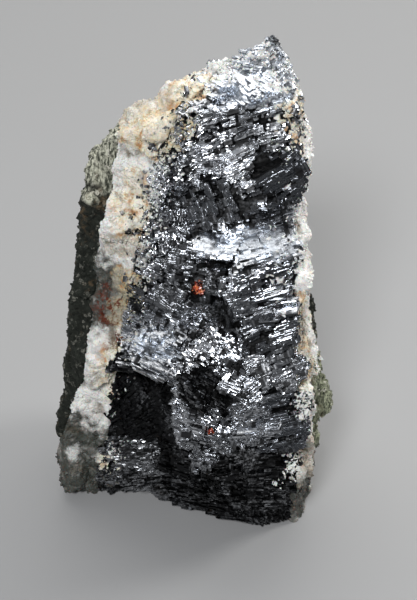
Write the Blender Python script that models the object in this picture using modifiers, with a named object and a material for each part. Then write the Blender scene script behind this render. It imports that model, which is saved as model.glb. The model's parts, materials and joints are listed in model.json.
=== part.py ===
"""A hand specimen of vein galena, standing on its broken base.

The vein runs front to back. From left to right it holds a skin of wall rock, a band of milky quartz that
climbs over the left shoulder, the galena that fills the vein, a thin second band of quartz, and a chip of
wall rock. Two grains of red-brown sphalerite sit in the galena.

One rough body is lofted, broken off along planes, and covered with cleavage plates and lumps of quartz.
Thin curved saw cuts then part it along the mineral boundaries, so that neighbours fit with a hairline gap.
Lengths are in millimetres here and become metres in the meshes. +Z is up and -Y is the front.
"""

import math
import random

import bmesh
import bpy
from mathutils import Matrix, Vector
from mathutils.bvhtree import BVHTree

MM = 0.001
GAP = 0.3  # between one mineral and the next
SEED = 7

# ---------------------------------------------------------------- driving shape
# Ribs of the rough body, in order round it seen from above, each from the base to above the top.
# Every rib is a list of (x, y, z); between its points it runs straight.
RIBS = {
    "left_front": [
        (-30, -4, 0), (-31.5, -3, 7), (-30.5, -2, 17), (-29.5, -1, 28), (-27.5, 0, 40),
        (-25.2, 2, 59), (-24, 3, 67), (-22.5, 4, 76), (-22, 5, 81), (-21, 6, 116),
    ],
    "arris": [
        (-22.5, -5, 0), (-21.5, -6, 9), (-21, -8, 15.5), (-20, -5, 18), (-18.5, -5, 29), (-16.8, -6, 40),
        (-15.8, -11, 42.6), (-14.6, -7, 51.4), (-13.3, -6, 60), (-12, -5, 69), (-10, -3, 79),
        (-8.5, -2, 88), (-8, 0, 116),
    ],
    "nook": [
        (-11, -4, 0), (-11, -7.5, 6), (-10.5, -9.5, 15), (-10.5, -6, 18), (-10.5, 1, 21), (-10, 2, 30),
        (-9.5, 1, 42), (-9.3, -14.5, 44), (-9.2, -15.5, 46.3), (-7.5, -8, 54), (-6.5, -7, 64),
        (-5.5, -6, 75), (-4, -3, 88), (-2, 0, 116),
    ],
    "middle": [
        (-1.5, -10.5, 0), (-3.5, -12, 11), (-2.5, -16, 27), (-2.5, -18.5, 40), (-2.8, -20, 49),
        (-1.2, -10.5, 55), (-1, -10, 64), (-0.5, -9, 75), (1.5, -6, 83), (2.5, -2, 92), (4, 2, 116),
    ],
    "cleft": [
        (5.5, -13.5, 0), (4.5, -18.5, 21), (4.5, -24.5, 38), (4.3, -23.5, 51.5), (5, -13, 56.5),
        (5.2, -9.5, 62), (5, -9.5, 74), (5, -8, 77), (5.5, -6.5, 83), (6, -3, 93), (7, 1, 116),
    ],
    "prow": [
        (12.5, -15, 0), (12, -22, 21), (11.5, -28, 38), (10.5, -27, 47), (9.5, -24.5, 53), (9.5, -20, 57.5),
        (10, -18.5, 61), (9, -17, 75), (9.5, -9, 77), (10, -7, 83), (10, -4, 93), (10, 0, 116),
    ],
    "right_front": [
        (23, -14, 0), (21, -19, 18), (20, -24, 34), (19.5, -23, 45), (19.5, -20, 57),
        (20.5, -18, 60), (20, -16, 74), (20, -8, 76.5), (20.5, -3, 90), (19, 0, 105), (18.5, 0, 116),
    ],
    "right": [
        (24.5, -9, 0), (26.5, -9, 17), (26.5, -8, 25), (29, -6, 29.5), (27.5, -6, 36.5),
        (24.5, -5, 46), (23, -3, 54), (23.5, -2, 63), (22.5, 0, 70), (21.5, 2, 76), (23, 2, 82),
        (24, 3, 89), (22, 4, 95), (20.5, 6, 101), (17.5, 8, 108), (17.5, 8, 116),
    ],
    "right_back": [(22, 20, 0), (24.5, 22, 30), (22, 21, 60), (20, 19, 85), (15, 17, 116)],
    "back": [(0, 27, 0), (1, 27.5, 30), (0, 25, 60), (-1, 22, 85), (2, 18, 116)],
    "left_back": [(-25, 20, 0), (-26, 22, 40), (-23.5, 19, 68), (-20, 17, 82), (-14, 14, 116)],
}

# Planes along which the top broke off, each by three points; what lies above is gone.
BREAKS = {
    "top": [(3.5, 12, 102), (17.5, 15, 107.5), (10, -1, 102.5)],
    "shoulder": [(-13, 14, 92), (3.7, 12, 102), (-5.5, 0, 98.7)],
    "left_corner": [(-22.6, 16, 74.6), (-13, 14, 92), (-20, 2, 87)],
    "back_bevel": [(3.5, 13, 102), (17, 16, 107), (6, 25, 78)],
}

# Saw cuts along the mineral boundaries. Each is a curved sheet ruled between two lines of (x, z): one on the
# front of the specimen at the depth EDGE_Y, one behind it at REAR_Y.
EDGE_Y = -6
REAR_Y = 30
CUTS = {
    "wall_to_quartz": (
        [(-38, -8), (-28, 24), (-24.8, 33), (-22.5, 45), (-20.3, 68), (-17.5, 79), (-17, 88), (-13, 112)],
        [(-33, -8), (-23, 24), (-20.5, 33), (-18.5, 45), (-16, 68), (-13, 79), (-11, 88), (-4, 112)],
    ),
    "quartz_to_galena": (
        [(-24.5, -8), (-18.5, 29), (-15.8, 48), (-12.6, 66), (-10, 80), (-8.3, 91), (-4, 101), (6, 116)],
        [(-12.5, -8), (-10.5, 29), (-9.5, 48), (-7, 66), (-3, 80), (2, 91), (12, 101), (28, 116)],
    ),
    "galena_to_quartz": (
        [(21, -8), (20.5, 12), (22.6, 40), (21.8, 58), (19.5, 67), (20, 74), (25, 80), (21.5, 91), (15, 116)],
        [(17, -8), (18, 12), (18, 40), (17.5, 58), (17, 67), (16.5, 74), (16, 80), (15, 91), (11, 116)],
    ),
    "quartz_to_chip": (
        [(36, 12), (29, 21), (25.6, 26), (25, 33), (25.3, 41), (27, 48), (34, 60)],
        [(36, 12), (29, 21), (25.6, 26), (25, 33), (25.3, 41), (27, 48), (34, 60)],
    ),
}

# Galena parts along three square planes, so each grain of it breaks into a flight of square-edged plates.
# Each flight: its middle, the way its ledges run, the way its face looks, how many slabs are stacked in it,
# how thick they are, how wide the flight is, how long a plate is, and how far plates stand out past others.
FLIGHTS = {
    "crown": ((-1, -2, 95), (0.87, 0.1, 0.45), (-0.15, -0.9, 0.35), 4, 2.3, 13, 7, 1.8),
    "stair": ((15, -4, 89), (0.85, 0.1, 0.5), (0.1, -1, 0.15), 6, 2.5, 15, 8, 2.2),
    "slant": ((3, -7, 82), (0.46, 0, -0.89), (-0.35, -0.93, 0.1), 4, 2.6, 15, 8, 2.0),
    "cheek": ((-6, -5, 80), (0.4, 0, 0.92), (-0.5, -0.85, 0.1), 3, 2.4, 13, 7, 1.4),
    "block": ((14.5, -17, 67), (0.96, 0.05, 0.3), (0.05, -1, 0.1), 6, 2.4, 12, 6.5, 1.9),
    "hollow": ((-3, -10, 65), (0.9, 0, -0.35), (-0.2, -0.95, 0.25), 5, 2.7, 13, 7, 1.4),
    "apron": ((-5, -14, 50.5), (0.85, -0.35, 0.3), (-0.3, -0.65, 0.75), 3, 2.6, 19, 7, 1.4),
    "brow": ((8, -24, 50), (0.93, 0.05, 0.35), (0, -0.85, 0.5), 4, 2.6, 22, 7.5, 1.8),
    "chin": ((9, -26, 38), (0.99, 0, 0.08), (0, -1, 0.05), 4, 2.8, 24, 8, 2.2),
    "keel": ((11, -21, 19), (1, 0, -0.08), (0.05, -0.95, -0.25), 5, 3.4, 22, 8, 2.0),
    "foot": ((-17, -7, 8), (0.9, -0.1, 0.35), (-0.2, -0.95, 0.2), 3, 2.8, 8, 5, 1.6),
    "rear_high": ((4, 22, 84), (0.9, -0.1, -0.35), (0, 0.9, 0.4), 5, 4.0, 20, 10, 2.4),
    "rear_middle": ((3, 25, 58), (0.8, 0.1, 0.6), (0, 1, 0.05), 6, 4.0, 24, 10, 2.6),
    "rear_low": ((4, 27, 28), (0.97, 0, -0.2), (0, 1, -0.05), 7, 4.0, 26, 11, 2.4),
}
PLATE_ROOT = 6  # how deep a plate is rooted in the body
PLATE_LAP = 0.2  # how far neighbouring plates run into each other

# Quartz and wall rock break into rounded lumps: middle and half sizes.
LUMPS = {
    "shoulder_back": ((-3, 8, 98), (4.5, 4, 2.6)),
    "shoulder": ((-9, 6, 94.5), (4.2, 4, 3)),
    "corner": ((-19, 8, 82), (2.6, 4, 3)),
    "temple": ((-20.5, 4, 76), (2.6, 3, 4)),
    "bead": ((-22.5, 0, 57), (3, 2.6, 3.2)),
    "band_high": ((-16, -2, 76), (4, 3, 6)),
    "band_low": ((-22, -4, 38), (4, 3.4, 7)),
    "heel": ((-27.5, -4, 8), (3.6, 3.4, 6)),
    "rim": ((19, 2, 99), (2.2, 4, 4)),
    "knob": ((21, -2.5, 72), (2.2, 3.4, 3.6)),
    "seam": ((22, -5, 58), (1.8, 3, 5)),
    "hip": ((24, -8, 40), (2.4, 4, 5)),
    "chip": ((27.5, -5, 30), (2.6, 4, 5)),
    "hem": ((24, -10, 18), (2.6, 4, 6)),
    "back_left": ((-20, 19, 60), (5, 5, 9)),
    "back_left_low": ((-22, 19, 22), (5, 5, 9)),
    "back_right": ((20, 18, 62), (4, 5, 10)),
    "back_right_low": ((22, 18, 25), (4, 6, 10)),
}
LUMP_JITTER = 0.12  # share of the size by which a lump's corners wander

# Clefts broken into the face: middle, size, and turn about Y in degrees.
CLEFTS = {
    "crevice": ((6, -17, 65.5), (2.6, 12, 14), 6),
    "slot": ((11, -16.5, 75.8), (7, 5, 1.2), -4),
    "socket": ((1.5, -20, 51.5), (3.4, 5, 2), 10),
    "rear_cleft": ((-3, 27, 68), (3, 9, 17), -15),
}

# Sphalerite grains, each half sunk in the galena: where they show on the front, and their half size.
GRAINS = {
    "sphalerite_upper": ((1, 63.5), 1.5),
    "sphalerite_lower": ((3.5, 36), 1.1),
}
GRAIN_SUNK = 0.25  # how far a grain's middle lies behind the face, as a share of its half size
GRAIN_TRIM = 0.55  # how much of its edges is trimmed, as a share of its half size
GRAIN_TURN = Matrix.Rotation(math.radians(35), 3, (0.5, 0.7, 0.4))

LEVELS = [
    -4, 0.5, 6, 11, 15, 18, 21, 25, 30, 35, 39, 42, 44, 47, 50, 53, 56.5, 61, 66, 71,
    74.5, 76.8, 80, 84, 88, 92, 96, 100, 104, 108, 112,
]
WOBBLE = 0.45  # how far the corners of the rough body wander
WIDEST_PANEL = 10  # a gap between ribs wider than this gets a corner half way
INSIDE = (0, 0, 50)  # a point deep in the body
BEYOND = 30  # further out than the face bulges from any point it is sighted from
BASE_SAW = 160  # side of the block that squares the base off at z = 0

MATERIALS = {
    "galena": ((0.23, 0.24, 0.27, 1), 1.0, 0.34),
    "quartz_left": ((0.78, 0.72, 0.6, 1), 0.0, 0.5),
    "wallrock_left": ((0.2, 0.2, 0.17, 1), 0.0, 0.85),
    "quartz_right": ((0.8, 0.77, 0.7, 1), 0.0, 0.5),
    "wallrock_right": ((0.24, 0.25, 0.2, 1), 0.0, 0.85),
    "sphalerite_upper": ((0.42, 0.07, 0.02, 1), 0.0, 0.18),
    "sphalerite_lower": ((0.4, 0.06, 0.03, 1), 0.0, 0.18),
}
FROM_LEFT = ["wallrock_left", "quartz_left", "galena", "quartz_right", "wallrock_right"]


# ---------------------------------------------------------------- small helpers
def clear_scene():
    for obj in list(bpy.data.objects):
        bpy.data.objects.remove(obj, do_unlink=True)


def collection(name, hidden=False):
    made = bpy.data.collections.new(name)
    made.hide_render = hidden
    bpy.context.scene.collection.children.link(made)
    return made


def object_of(name, bm, home):
    """An object from a bmesh whose corners are in millimetres."""
    bmesh.ops.scale(bm, vec=(MM, MM, MM), verts=bm.verts)
    bmesh.ops.recalc_face_normals(bm, faces=bm.faces)
    mesh = bpy.data.meshes.new(name)
    bm.to_mesh(mesh)
    bm.free()
    obj = bpy.data.objects.new(name, mesh)
    home.objects.link(obj)
    return obj


def bake(obj):
    """Puts what the modifiers make into the object's own mesh."""
    bpy.context.view_layer.update()
    graph = bpy.context.evaluated_depsgraph_get()
    mesh = bpy.data.meshes.new_from_object(obj.evaluated_get(graph))
    obj.modifiers.clear()
    obj.data = mesh


def boolean(obj, operation, others, solver):
    """Joins or cuts the object with every object of a collection."""
    modifier = obj.modifiers.new(operation.lower(), "BOOLEAN")
    modifier.operation = operation
    modifier.solver = solver
    modifier.operand_type = "COLLECTION"
    modifier.collection = others
    bake(obj)


def at_height(line, z):
    """The point of a rib at height z."""
    for low, high in zip(line, line[1:]):
        if z <= high[2]:
            share = max(0.0, (z - low[2]) / (high[2] - low[2]))
            return Vector(low).lerp(Vector(high), share)
    return Vector(line[-1])


# ---------------------------------------------------------------- the rough body
def ring(z, rng):
    """One level section through the rough body: the ribs, and a corner half way across each wide panel."""
    ribs = list(RIBS.values())
    points = []
    for line, after in zip(ribs, ribs[1:] + ribs[:1]):
        points.append(at_height(line, z))
        if (Vector(line[0]) - Vector(after[0])).length > WIDEST_PANEL:
            points.append((at_height(line, z) + at_height(after, z)) / 2)
    for point in points:
        point.x += rng.uniform(-WOBBLE, WOBBLE)
        point.y += rng.uniform(-WOBBLE, WOBBLE)
        point.z = z
    return points


def break_off(bm, points):
    """Breaks away all that lies outside the plane through three points, and closes the wound."""
    a, b, c = (Vector(point) for point in points)
    normal = (b - a).cross(c - a).normalized()
    if normal.dot(Vector(INSIDE) - a) > 0:
        normal.negate()
    everything = bm.verts[:] + bm.edges[:] + bm.faces[:]
    cut = bmesh.ops.bisect_plane(bm, geom=everything, plane_co=a, plane_no=normal, clear_outer=True)
    rim = [item for item in cut["geom_cut"] if isinstance(item, bmesh.types.BMEdge)]
    bmesh.ops.holes_fill(bm, edges=rim)


def rough_body(home):
    """The lofted lump of vein, broken off at the top and flat underneath."""
    rng = random.Random(SEED)
    bm = bmesh.new()
    rings = [[bm.verts.new(point) for point in ring(z, rng)] for z in LEVELS]
    for lower, upper in zip(rings, rings[1:]):
        for k in range(len(lower)):
            after = (k + 1) % len(lower)
            bm.faces.new((lower[k], lower[after], upper[after], upper[k]))
    bm.faces.new(rings[0][::-1])
    bm.faces.new(rings[-1])
    bmesh.ops.triangulate(bm, faces=bm.faces)
    for points in BREAKS.values():
        break_off(bm, points)
    bmesh.ops.triangulate(bm, faces=bm.faces)
    return object_of("body", bm, home)


# ---------------------------------------------------------------- plates, lumps and clefts
def box(name, turn, middle, size, home):
    """A block of the given size, turned by a matrix."""
    bm = bmesh.new()
    bmesh.ops.create_cube(bm, size=1)
    bmesh.ops.scale(bm, vec=size, verts=bm.verts)
    bmesh.ops.transform(bm, matrix=Matrix.Translation(middle) @ turn.to_4x4(), verts=bm.verts)
    return object_of(name, bm, home)


def surface(tree, point, look):
    """How far out along look the body reaches, measured from point; None where it isn't met."""
    start = (point + look * BEYOND) * MM
    hit, _, _, distance = tree.ray_cast(start, -look)
    return None if hit is None else BEYOND - distance / MM


def flight(name, spec, tree, home):
    """The plates on the face of one grain of galena: slabs, each parted across into a row of plates."""
    middle, along, look, slabs, thick, width, length, proud = spec
    rng = random.Random(f"{SEED} {name}")
    along = Vector(along).normalized()
    look = Vector(look)
    look = (look - along * look.dot(along)).normalized()
    stack = along.cross(look)
    turn = Matrix((along, look, stack)).transposed()
    offset = -slabs * thick / 2
    for slab in range(slabs):
        height = thick * rng.uniform(0.7, 1.3)
        place = -width / 2 * rng.uniform(0.8, 1.1)
        while place < width / 2:
            span = length * rng.uniform(0.6, 1.4)
            here = Vector(middle) + stack * (offset + height / 2) + along * (place + span / 2)
            tips = [surface(tree, here + along * share * span, look) for share in (-0.4, 0, 0.4)]
            place += span
            if None not in tips:
                top = sorted(tips)[1] + proud * rng.uniform(0, 0.9)
                depth = top - min(tips) + PLATE_ROOT
                size = (span + PLATE_LAP, depth, height + PLATE_LAP)
                box(f"{name}_{slab}", turn, here + look * (top - depth / 2), size, home)
        offset += height


def lump(name, middle, sizes, home):
    """A rounded, uneven knob of quartz or wall rock."""
    rng = random.Random(f"{SEED} {name}")
    bm = bmesh.new()
    bmesh.ops.create_icosphere(bm, subdivisions=2, radius=1)
    for vert in bm.verts:
        vert.co *= 1 + rng.uniform(-LUMP_JITTER, LUMP_JITTER)
    bmesh.ops.scale(bm, vec=sizes, verts=bm.verts)
    bmesh.ops.translate(bm, vec=middle, verts=bm.verts)
    return object_of(name, bm, home)


# ---------------------------------------------------------------- parting the minerals
def parting(name, front, rear, home):
    """A curved sheet, GAP thick, that parts two minerals from each other."""
    bm = bmesh.new()
    rows = []
    for reach in (-1.2, -0.6, 0, 0.5, 1, 1.3):
        row = []
        for (x0, z0), (x1, z1) in zip(front, rear):
            point = Vector((x0, EDGE_Y, z0)).lerp(Vector((x1, REAR_Y, z1)), reach)
            row.append(bm.verts.new(point))
        rows.append(row)
    for near, far in zip(rows, rows[1:]):
        for k in range(len(near) - 1):
            bm.faces.new((near[k], near[k + 1], far[k + 1], far[k]))
    bmesh.ops.triangulate(bm, faces=bm.faces)
    sheet = object_of(name, bm, home)
    solidify = sheet.modifiers.new("kerf", "SOLIDIFY")
    solidify.thickness = GAP * MM
    solidify.offset = 0
    bake(sheet)
    return sheet


def drop_flaps(bm):
    """Removes pairs of faces that lie back to back on the same corners and so hold nothing."""
    seen = {}
    for face in bm.faces:
        seen.setdefault(frozenset(face.verts), []).append(face)
    flaps = [face for twins in seen.values() if len(twins) > 1 for face in twins]
    bmesh.ops.delete(bm, geom=flaps, context="FACES")


def islands(bm):
    """The separate closed shells of a mesh, each a set of faces."""
    left = set(bm.faces)
    found = []
    while left:
        queue = [left.pop()]
        shell = set(queue)
        while queue:
            for edge in queue.pop().edges:
                for face in edge.link_faces:
                    if face in left:
                        left.discard(face)
                        shell.add(face)
                        queue.append(face)
        found.append(shell)
    return found


def volume_and_x(shell):
    """The volume inside a shell, and how far right its middle lies."""
    volume = 0.0
    moment = 0.0
    for face in shell:
        a, b, c = (vert.co for vert in face.verts)
        part = a.dot(b.cross(c)) / 6
        volume += part
        moment += part * (a.x + b.x + c.x) / 4
    return volume, moment / volume


def part_minerals(body, home):
    """Splits the cut body into its minerals, named from left to right; crumbs are swept away."""
    bm = bmesh.new()
    bm.from_mesh(body.data)
    bmesh.ops.triangulate(bm, faces=bm.faces)
    drop_flaps(bm)
    shells = sorted(islands(bm), key=lambda shell: -volume_and_x(shell)[0])[: len(FROM_LEFT)]
    shells.sort(key=lambda shell: volume_and_x(shell)[1])
    pieces = {}
    for name, shell in zip(FROM_LEFT, shells):
        points = {vert: None for face in shell for vert in face.verts}
        made = bmesh.new()
        for vert in points:
            points[vert] = made.verts.new(vert.co / MM)
        for face in shell:
            made.faces.new([points[vert] for vert in face.verts])
        pieces[name] = object_of(name, made, home)
    bm.free()
    return pieces


def grain(name, middle, radius, home):
    """A stubby sphalerite crystal: a cube with its edges trimmed off, turned askew."""
    bm = bmesh.new()
    bmesh.ops.create_cube(bm, size=2 * radius)
    bmesh.ops.bevel(bm, geom=bm.edges[:], offset=GRAIN_TRIM * radius, segments=1, affect="EDGES")
    bmesh.ops.rotate(bm, matrix=GRAIN_TURN, verts=bm.verts)
    bmesh.ops.translate(bm, vec=middle, verts=bm.verts)
    return object_of(name, bm, home)


def set_grains(galena, home, hidden):
    """Sinks the sphalerite grains half way into the face of the galena, each in a pocket a gap wider."""
    made = []
    for name, ((x, z), radius) in GRAINS.items():
        tree = BVHTree.FromObject(galena, bpy.context.evaluated_depsgraph_get())
        look = Vector((0, -1, 0))
        front = surface(tree, Vector((x, 0, z)), look)
        middle = Vector((x, -front + GRAIN_SUNK * radius, z))
        pocket = grain(f"{name}_pocket", middle, radius + GAP, hidden)
        modifier = galena.modifiers.new("pocket", "BOOLEAN")
        modifier.operation = "DIFFERENCE"
        modifier.solver = "MANIFOLD"
        modifier.object = pocket
        bake(galena)
        made.append(grain(name, middle, radius, home))
    return made


def paint(obj):
    color, metallic, roughness = MATERIALS[obj.name]
    material = bpy.data.materials.new(obj.name)
    material.use_nodes = True
    shader = material.node_tree.nodes["Principled BSDF"]
    shader.inputs["Base Color"].default_value = color
    shader.inputs["Metallic"].default_value = metallic
    shader.inputs["Roughness"].default_value = roughness
    material.diffuse_color = color
    obj.data.materials.clear()
    obj.data.materials.append(material)


def centre_on_base(objects):
    """Moves everything so that the middle of the base of its bounding box is the origin."""
    corners = [vert.co for obj in objects for vert in obj.data.vertices]
    middle = [(min(c[k] for c in corners) + max(c[k] for c in corners)) / 2 for k in range(2)]
    shift = Vector((-middle[0], -middle[1], -min(c.z for c in corners)))
    for obj in objects:
        obj.data.transform(Matrix.Translation(shift))
    print("moved by, in mm:", [round(value / MM, 3) for value in shift])


# ---------------------------------------------------------------- the specimen
def build():
    clear_scene()
    parts = collection("galena_specimen")
    growths = collection("plates_and_lumps", hidden=True)
    cutters = collection("clefts", hidden=True)
    kerfs = collection("partings", hidden=True)
    helpers = collection("helpers", hidden=True)

    body = rough_body(helpers)
    tree = BVHTree.FromObject(body, bpy.context.evaluated_depsgraph_get())
    for name, spec in FLIGHTS.items():
        flight(name, spec, tree, growths)
    for name, (middle, sizes) in LUMPS.items():
        lump(name, middle, sizes, growths)
    boolean(body, "UNION", growths, "EXACT")

    for name, (middle, size, degrees) in CLEFTS.items():
        turn = Matrix.Rotation(math.radians(degrees), 3, "Y")
        box(name, turn, middle, size, cutters)
    box("below_the_base", Matrix.Identity(3), (0, 0, -BASE_SAW / 2), [BASE_SAW] * 3, cutters)
    boolean(body, "DIFFERENCE", cutters, "MANIFOLD")

    for name, (front, rear) in CUTS.items():
        parting(name, front, rear, kerfs)
    boolean(body, "DIFFERENCE", kerfs, "MANIFOLD")

    pieces = part_minerals(body, parts)
    made = list(pieces.values()) + set_grains(pieces["galena"], parts, helpers)
    centre_on_base(made)
    for obj in made:
        paint(obj)
    for home in (growths, cutters, kerfs, helpers):
        for obj in home.objects:
            obj.display_type = "WIRE"
            obj.hide_render = True
    for obj in made:
        print(f"{obj.name}: {sum(len(face.vertices) - 2 for face in obj.data.polygons)} triangles")


build()
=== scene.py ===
# %% [markdown]
# # A galena vein specimen
#
# Galena is lead sulphide. It parts along three square planes, so a broken face of it is a flight of
# bright, square-edged ledges. This lesson dresses a packed model of a hand specimen: the grey vein filling,
# a band of milky quartz on each side of it, skins of the rock that the vein ran through, and two grains of
# red sphalerite. The packed model is the frame: it is loaded first, and nothing in it is moved.

import json
import math
import random

import bmesh
import bpy
import numpy as np
from mathutils import Matrix, Vector, noise
from mathutils.bvhtree import BVHTree
from mathutils.kdtree import KDTree

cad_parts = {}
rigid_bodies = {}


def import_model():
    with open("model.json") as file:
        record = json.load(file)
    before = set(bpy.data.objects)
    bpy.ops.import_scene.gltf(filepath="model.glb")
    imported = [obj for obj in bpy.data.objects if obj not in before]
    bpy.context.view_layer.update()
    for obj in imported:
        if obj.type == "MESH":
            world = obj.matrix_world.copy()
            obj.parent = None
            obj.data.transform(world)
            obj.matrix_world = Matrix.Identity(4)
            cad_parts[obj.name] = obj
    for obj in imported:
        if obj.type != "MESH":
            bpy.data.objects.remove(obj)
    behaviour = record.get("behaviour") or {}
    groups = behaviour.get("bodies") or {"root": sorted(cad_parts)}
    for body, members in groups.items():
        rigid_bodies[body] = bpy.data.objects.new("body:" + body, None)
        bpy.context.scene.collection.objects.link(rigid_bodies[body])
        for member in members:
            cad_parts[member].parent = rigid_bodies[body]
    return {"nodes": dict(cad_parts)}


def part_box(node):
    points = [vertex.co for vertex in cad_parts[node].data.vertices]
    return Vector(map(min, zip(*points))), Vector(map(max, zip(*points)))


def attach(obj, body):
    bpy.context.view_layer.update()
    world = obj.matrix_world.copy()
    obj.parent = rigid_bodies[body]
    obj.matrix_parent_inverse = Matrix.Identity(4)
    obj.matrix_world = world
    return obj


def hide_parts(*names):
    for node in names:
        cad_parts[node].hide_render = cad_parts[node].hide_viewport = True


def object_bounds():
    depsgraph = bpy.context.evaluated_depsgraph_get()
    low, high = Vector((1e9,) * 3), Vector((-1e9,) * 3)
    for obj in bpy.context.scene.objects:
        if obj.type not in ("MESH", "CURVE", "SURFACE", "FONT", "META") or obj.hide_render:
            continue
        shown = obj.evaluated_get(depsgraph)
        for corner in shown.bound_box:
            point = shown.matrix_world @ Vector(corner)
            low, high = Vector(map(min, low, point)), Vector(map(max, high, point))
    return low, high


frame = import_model()
cad_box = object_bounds()
MM = 0.001
SEED = 11
print("nodes:", sorted(frame["nodes"]))
print("frame box:", [[round(value / MM, 1) for value in corner] for corner in cad_box])

# %% [markdown]
# ## The camera
#
# The specimen is seen from in front and well above, with a long lens, so its upright edges hardly
# converge. A camera could be placed by its location and angles, but it is easier to set from what it looks
# at: a target on the specimen, how far above the horizon the eye is, and how far away. `to_track_quat` then
# turns the camera's own -Z towards the target.

# %% Camera
LENS_MM = 100
SENSOR_MM = 36
EYE_ELEVATION = math.radians(38)
TARGET = Vector((3.6, -0.46, 53.0)) * MM
DISTANCE = 354.6 * MM


def add_object(name, data, home=None):
    """A new object in the scene, or in the collection that is given."""
    made = bpy.data.objects.new(name, data)
    if home is None:
        home = bpy.context.scene.collection
    home.objects.link(made)
    return made


def add_camera():
    data = bpy.data.cameras.new("camera")
    data.lens = LENS_MM
    data.sensor_width = SENSOR_MM
    data.clip_start = 0.01
    camera = add_object("camera", data)
    sight = Vector((0, math.cos(EYE_ELEVATION), -math.sin(EYE_ELEVATION)))
    camera.location = TARGET - sight * DISTANCE
    camera.rotation_euler = sight.to_track_quat("-Z", "Y").to_euler()
    bpy.context.scene.camera = camera
    return camera


camera = add_camera()
print("camera at, in mm:", [round(value / MM) for value in camera.location])

# %% [markdown]
# ## Light for a mineral that works like a mirror
#
# Fresh galena is metallic, so a ledge shows whatever lies in the direction that it mirrors. Small lamps
# alone would leave hard white spots. One broad lamp overhead makes the up-facing treads flash instead, and
# the dim surroundings leave the upright faces dark: that contrast is what makes the ledges read. A smaller
# lamp from the front left lights what the broad one can't reach and gives the sharpest glints, and a third,
# on the right and a little behind, picks out the edge there.

# %% Lights
LAMPS = {  # place and width in millimetres, watts, colour
    "softbox": ((0, 420, 640), 900, 3.3, (1.0, 0.985, 0.96)),
    "front": ((-120, -560, 640), 180, 5.2, (0.97, 0.98, 1.0)),
    "rim": ((560, 160, 420), 220, 2.4, (1.0, 0.99, 0.97)),
}


def add_lamp(name, place, width, watts, colour):
    data = bpy.data.lights.new(name, "AREA")
    data.shape = "DISK"
    data.size = width * MM
    data.energy = watts
    data.color = colour
    lamp = add_object(name, data)
    lamp.location = Vector(place) * MM
    lamp.rotation_euler = (TARGET - lamp.location).to_track_quat("-Z", "Y").to_euler()
    return lamp


lamps = [add_lamp(name, *facts) for name, facts in LAMPS.items()]
bpy.context.scene.view_settings.view_transform = "Standard"
print("lamps:", [lamp.name for lamp in lamps])

# %% [markdown]
# ## Arithmetic on sockets
#
# Materials and Geometry Nodes are both graphs. Wired by hand they take three lines a sum, so this small
# class wraps one output of a node and lets `+ - * /` make the Math nodes. Sums of colours and vectors
# become Vector Math. Any other node is made by `Graph.node`, from its type, its settings, and the values or
# links of its sockets.

# %% A wire that takes part in sums
class Wire:
    """One output of a node, which takes part in sums like a number."""

    def __init__(self, graph, socket):
        self.graph = graph
        self.socket = socket

    def __add__(self, other):
        return self.graph.maths("ADD", self, other)

    def __radd__(self, other):
        return self.graph.maths("ADD", other, self)

    def __sub__(self, other):
        return self.graph.maths("SUBTRACT", self, other)

    def __rsub__(self, other):
        return self.graph.maths("SUBTRACT", other, self)

    def __mul__(self, other):
        return self.graph.maths("MULTIPLY", self, other)

    def __rmul__(self, other):
        return self.graph.maths("MULTIPLY", other, self)

    def __truediv__(self, other):
        return self.graph.maths("DIVIDE", self, other)

    def __rtruediv__(self, other):
        return self.graph.maths("DIVIDE", other, self)


print("a wire adds, subtracts, multiplies and divides")


# %% A graph that is built by calls
class Graph:
    """A node tree that is built by calls and sums."""

    def __init__(self, tree):
        self.tree = tree

    def put(self, socket, value):
        """Links a wire to a socket, or writes a plain value into it."""
        if isinstance(value, Wire):
            self.tree.links.new(value.socket, socket)
        elif socket.type in ("VECTOR", "RGBA") and isinstance(value, (int, float)):
            socket.default_value = [value] * len(socket.default_value)
        else:
            socket.default_value = value

    def node(self, kind, values=None, out=None, **settings):
        """Adds a node. The values are keyed by socket name or number; out names the outputs to return."""
        made = self.tree.nodes.new(kind)
        for name, value in settings.items():
            setattr(made, name, value)
        for key, value in (values or {}).items():
            self.put(self.find(made.inputs, key), value)
        if isinstance(out, tuple):
            return tuple(Wire(self, self.find(made.outputs, name)) for name in out)
        return Wire(self, self.find(made.outputs, out)) if made.outputs else None

    def find(self, sockets, key):
        """The live socket with this name or number; with no key, the first live one."""
        live = [socket for socket in sockets if socket.enabled]
        if key is None:
            return live[0]
        return live[key] if isinstance(key, int) else next(s for s in live if s.name == key)

    def maths(self, operation, *values):
        """A Math node, or a Vector Math node where a vector or a colour takes part."""
        wires = [value for value in values if isinstance(value, Wire)]
        vector = any(wire.socket.type in ("VECTOR", "RGBA") for wire in wires)
        kind = "ShaderNodeVectorMath" if vector else "ShaderNodeMath"
        return self.node(kind, dict(enumerate(values)), operation=operation)

    def axis(self, vector, name):
        """The X, Y or Z of a vector; with a tuple of names, each of them."""
        return self.node("ShaderNodeSeparateXYZ", {0: vector}, out=name)

    def noise(self, where, size, detail=3, roughness=0.55):
        """Fractal noise from 0 to 1 whose largest blobs are about size millimetres."""
        values = {"Vector": where, "Scale": 1 / (size * MM), "Detail": detail, "Roughness": roughness}
        return self.node("ShaderNodeTexNoise", values)

    def cells(self, where, size):
        """One random colour for each cell of about size millimetres."""
        values = {"Vector": where, "Scale": 1 / (size * MM)}
        return self.node("ShaderNodeTexVoronoi", values, out="Color")

    def band(self, value, low, high, start=0.0, end=1.0):
        """Takes low..high smoothly to start..end."""
        values = {"Value": value, "From Min": low, "From Max": high, "To Min": start, "To Max": end}
        return self.node("ShaderNodeMapRange", values, interpolation_type="SMOOTHSTEP")

    def blend(self, share, first, second):
        """A colour part of the way from first to second."""
        values = {"Factor": share, "A": first, "B": second}
        return self.node("ShaderNodeMix", values, data_type="RGBA")


print("a graph makes", [name for name in vars(Graph) if not name.startswith("_")])

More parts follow.
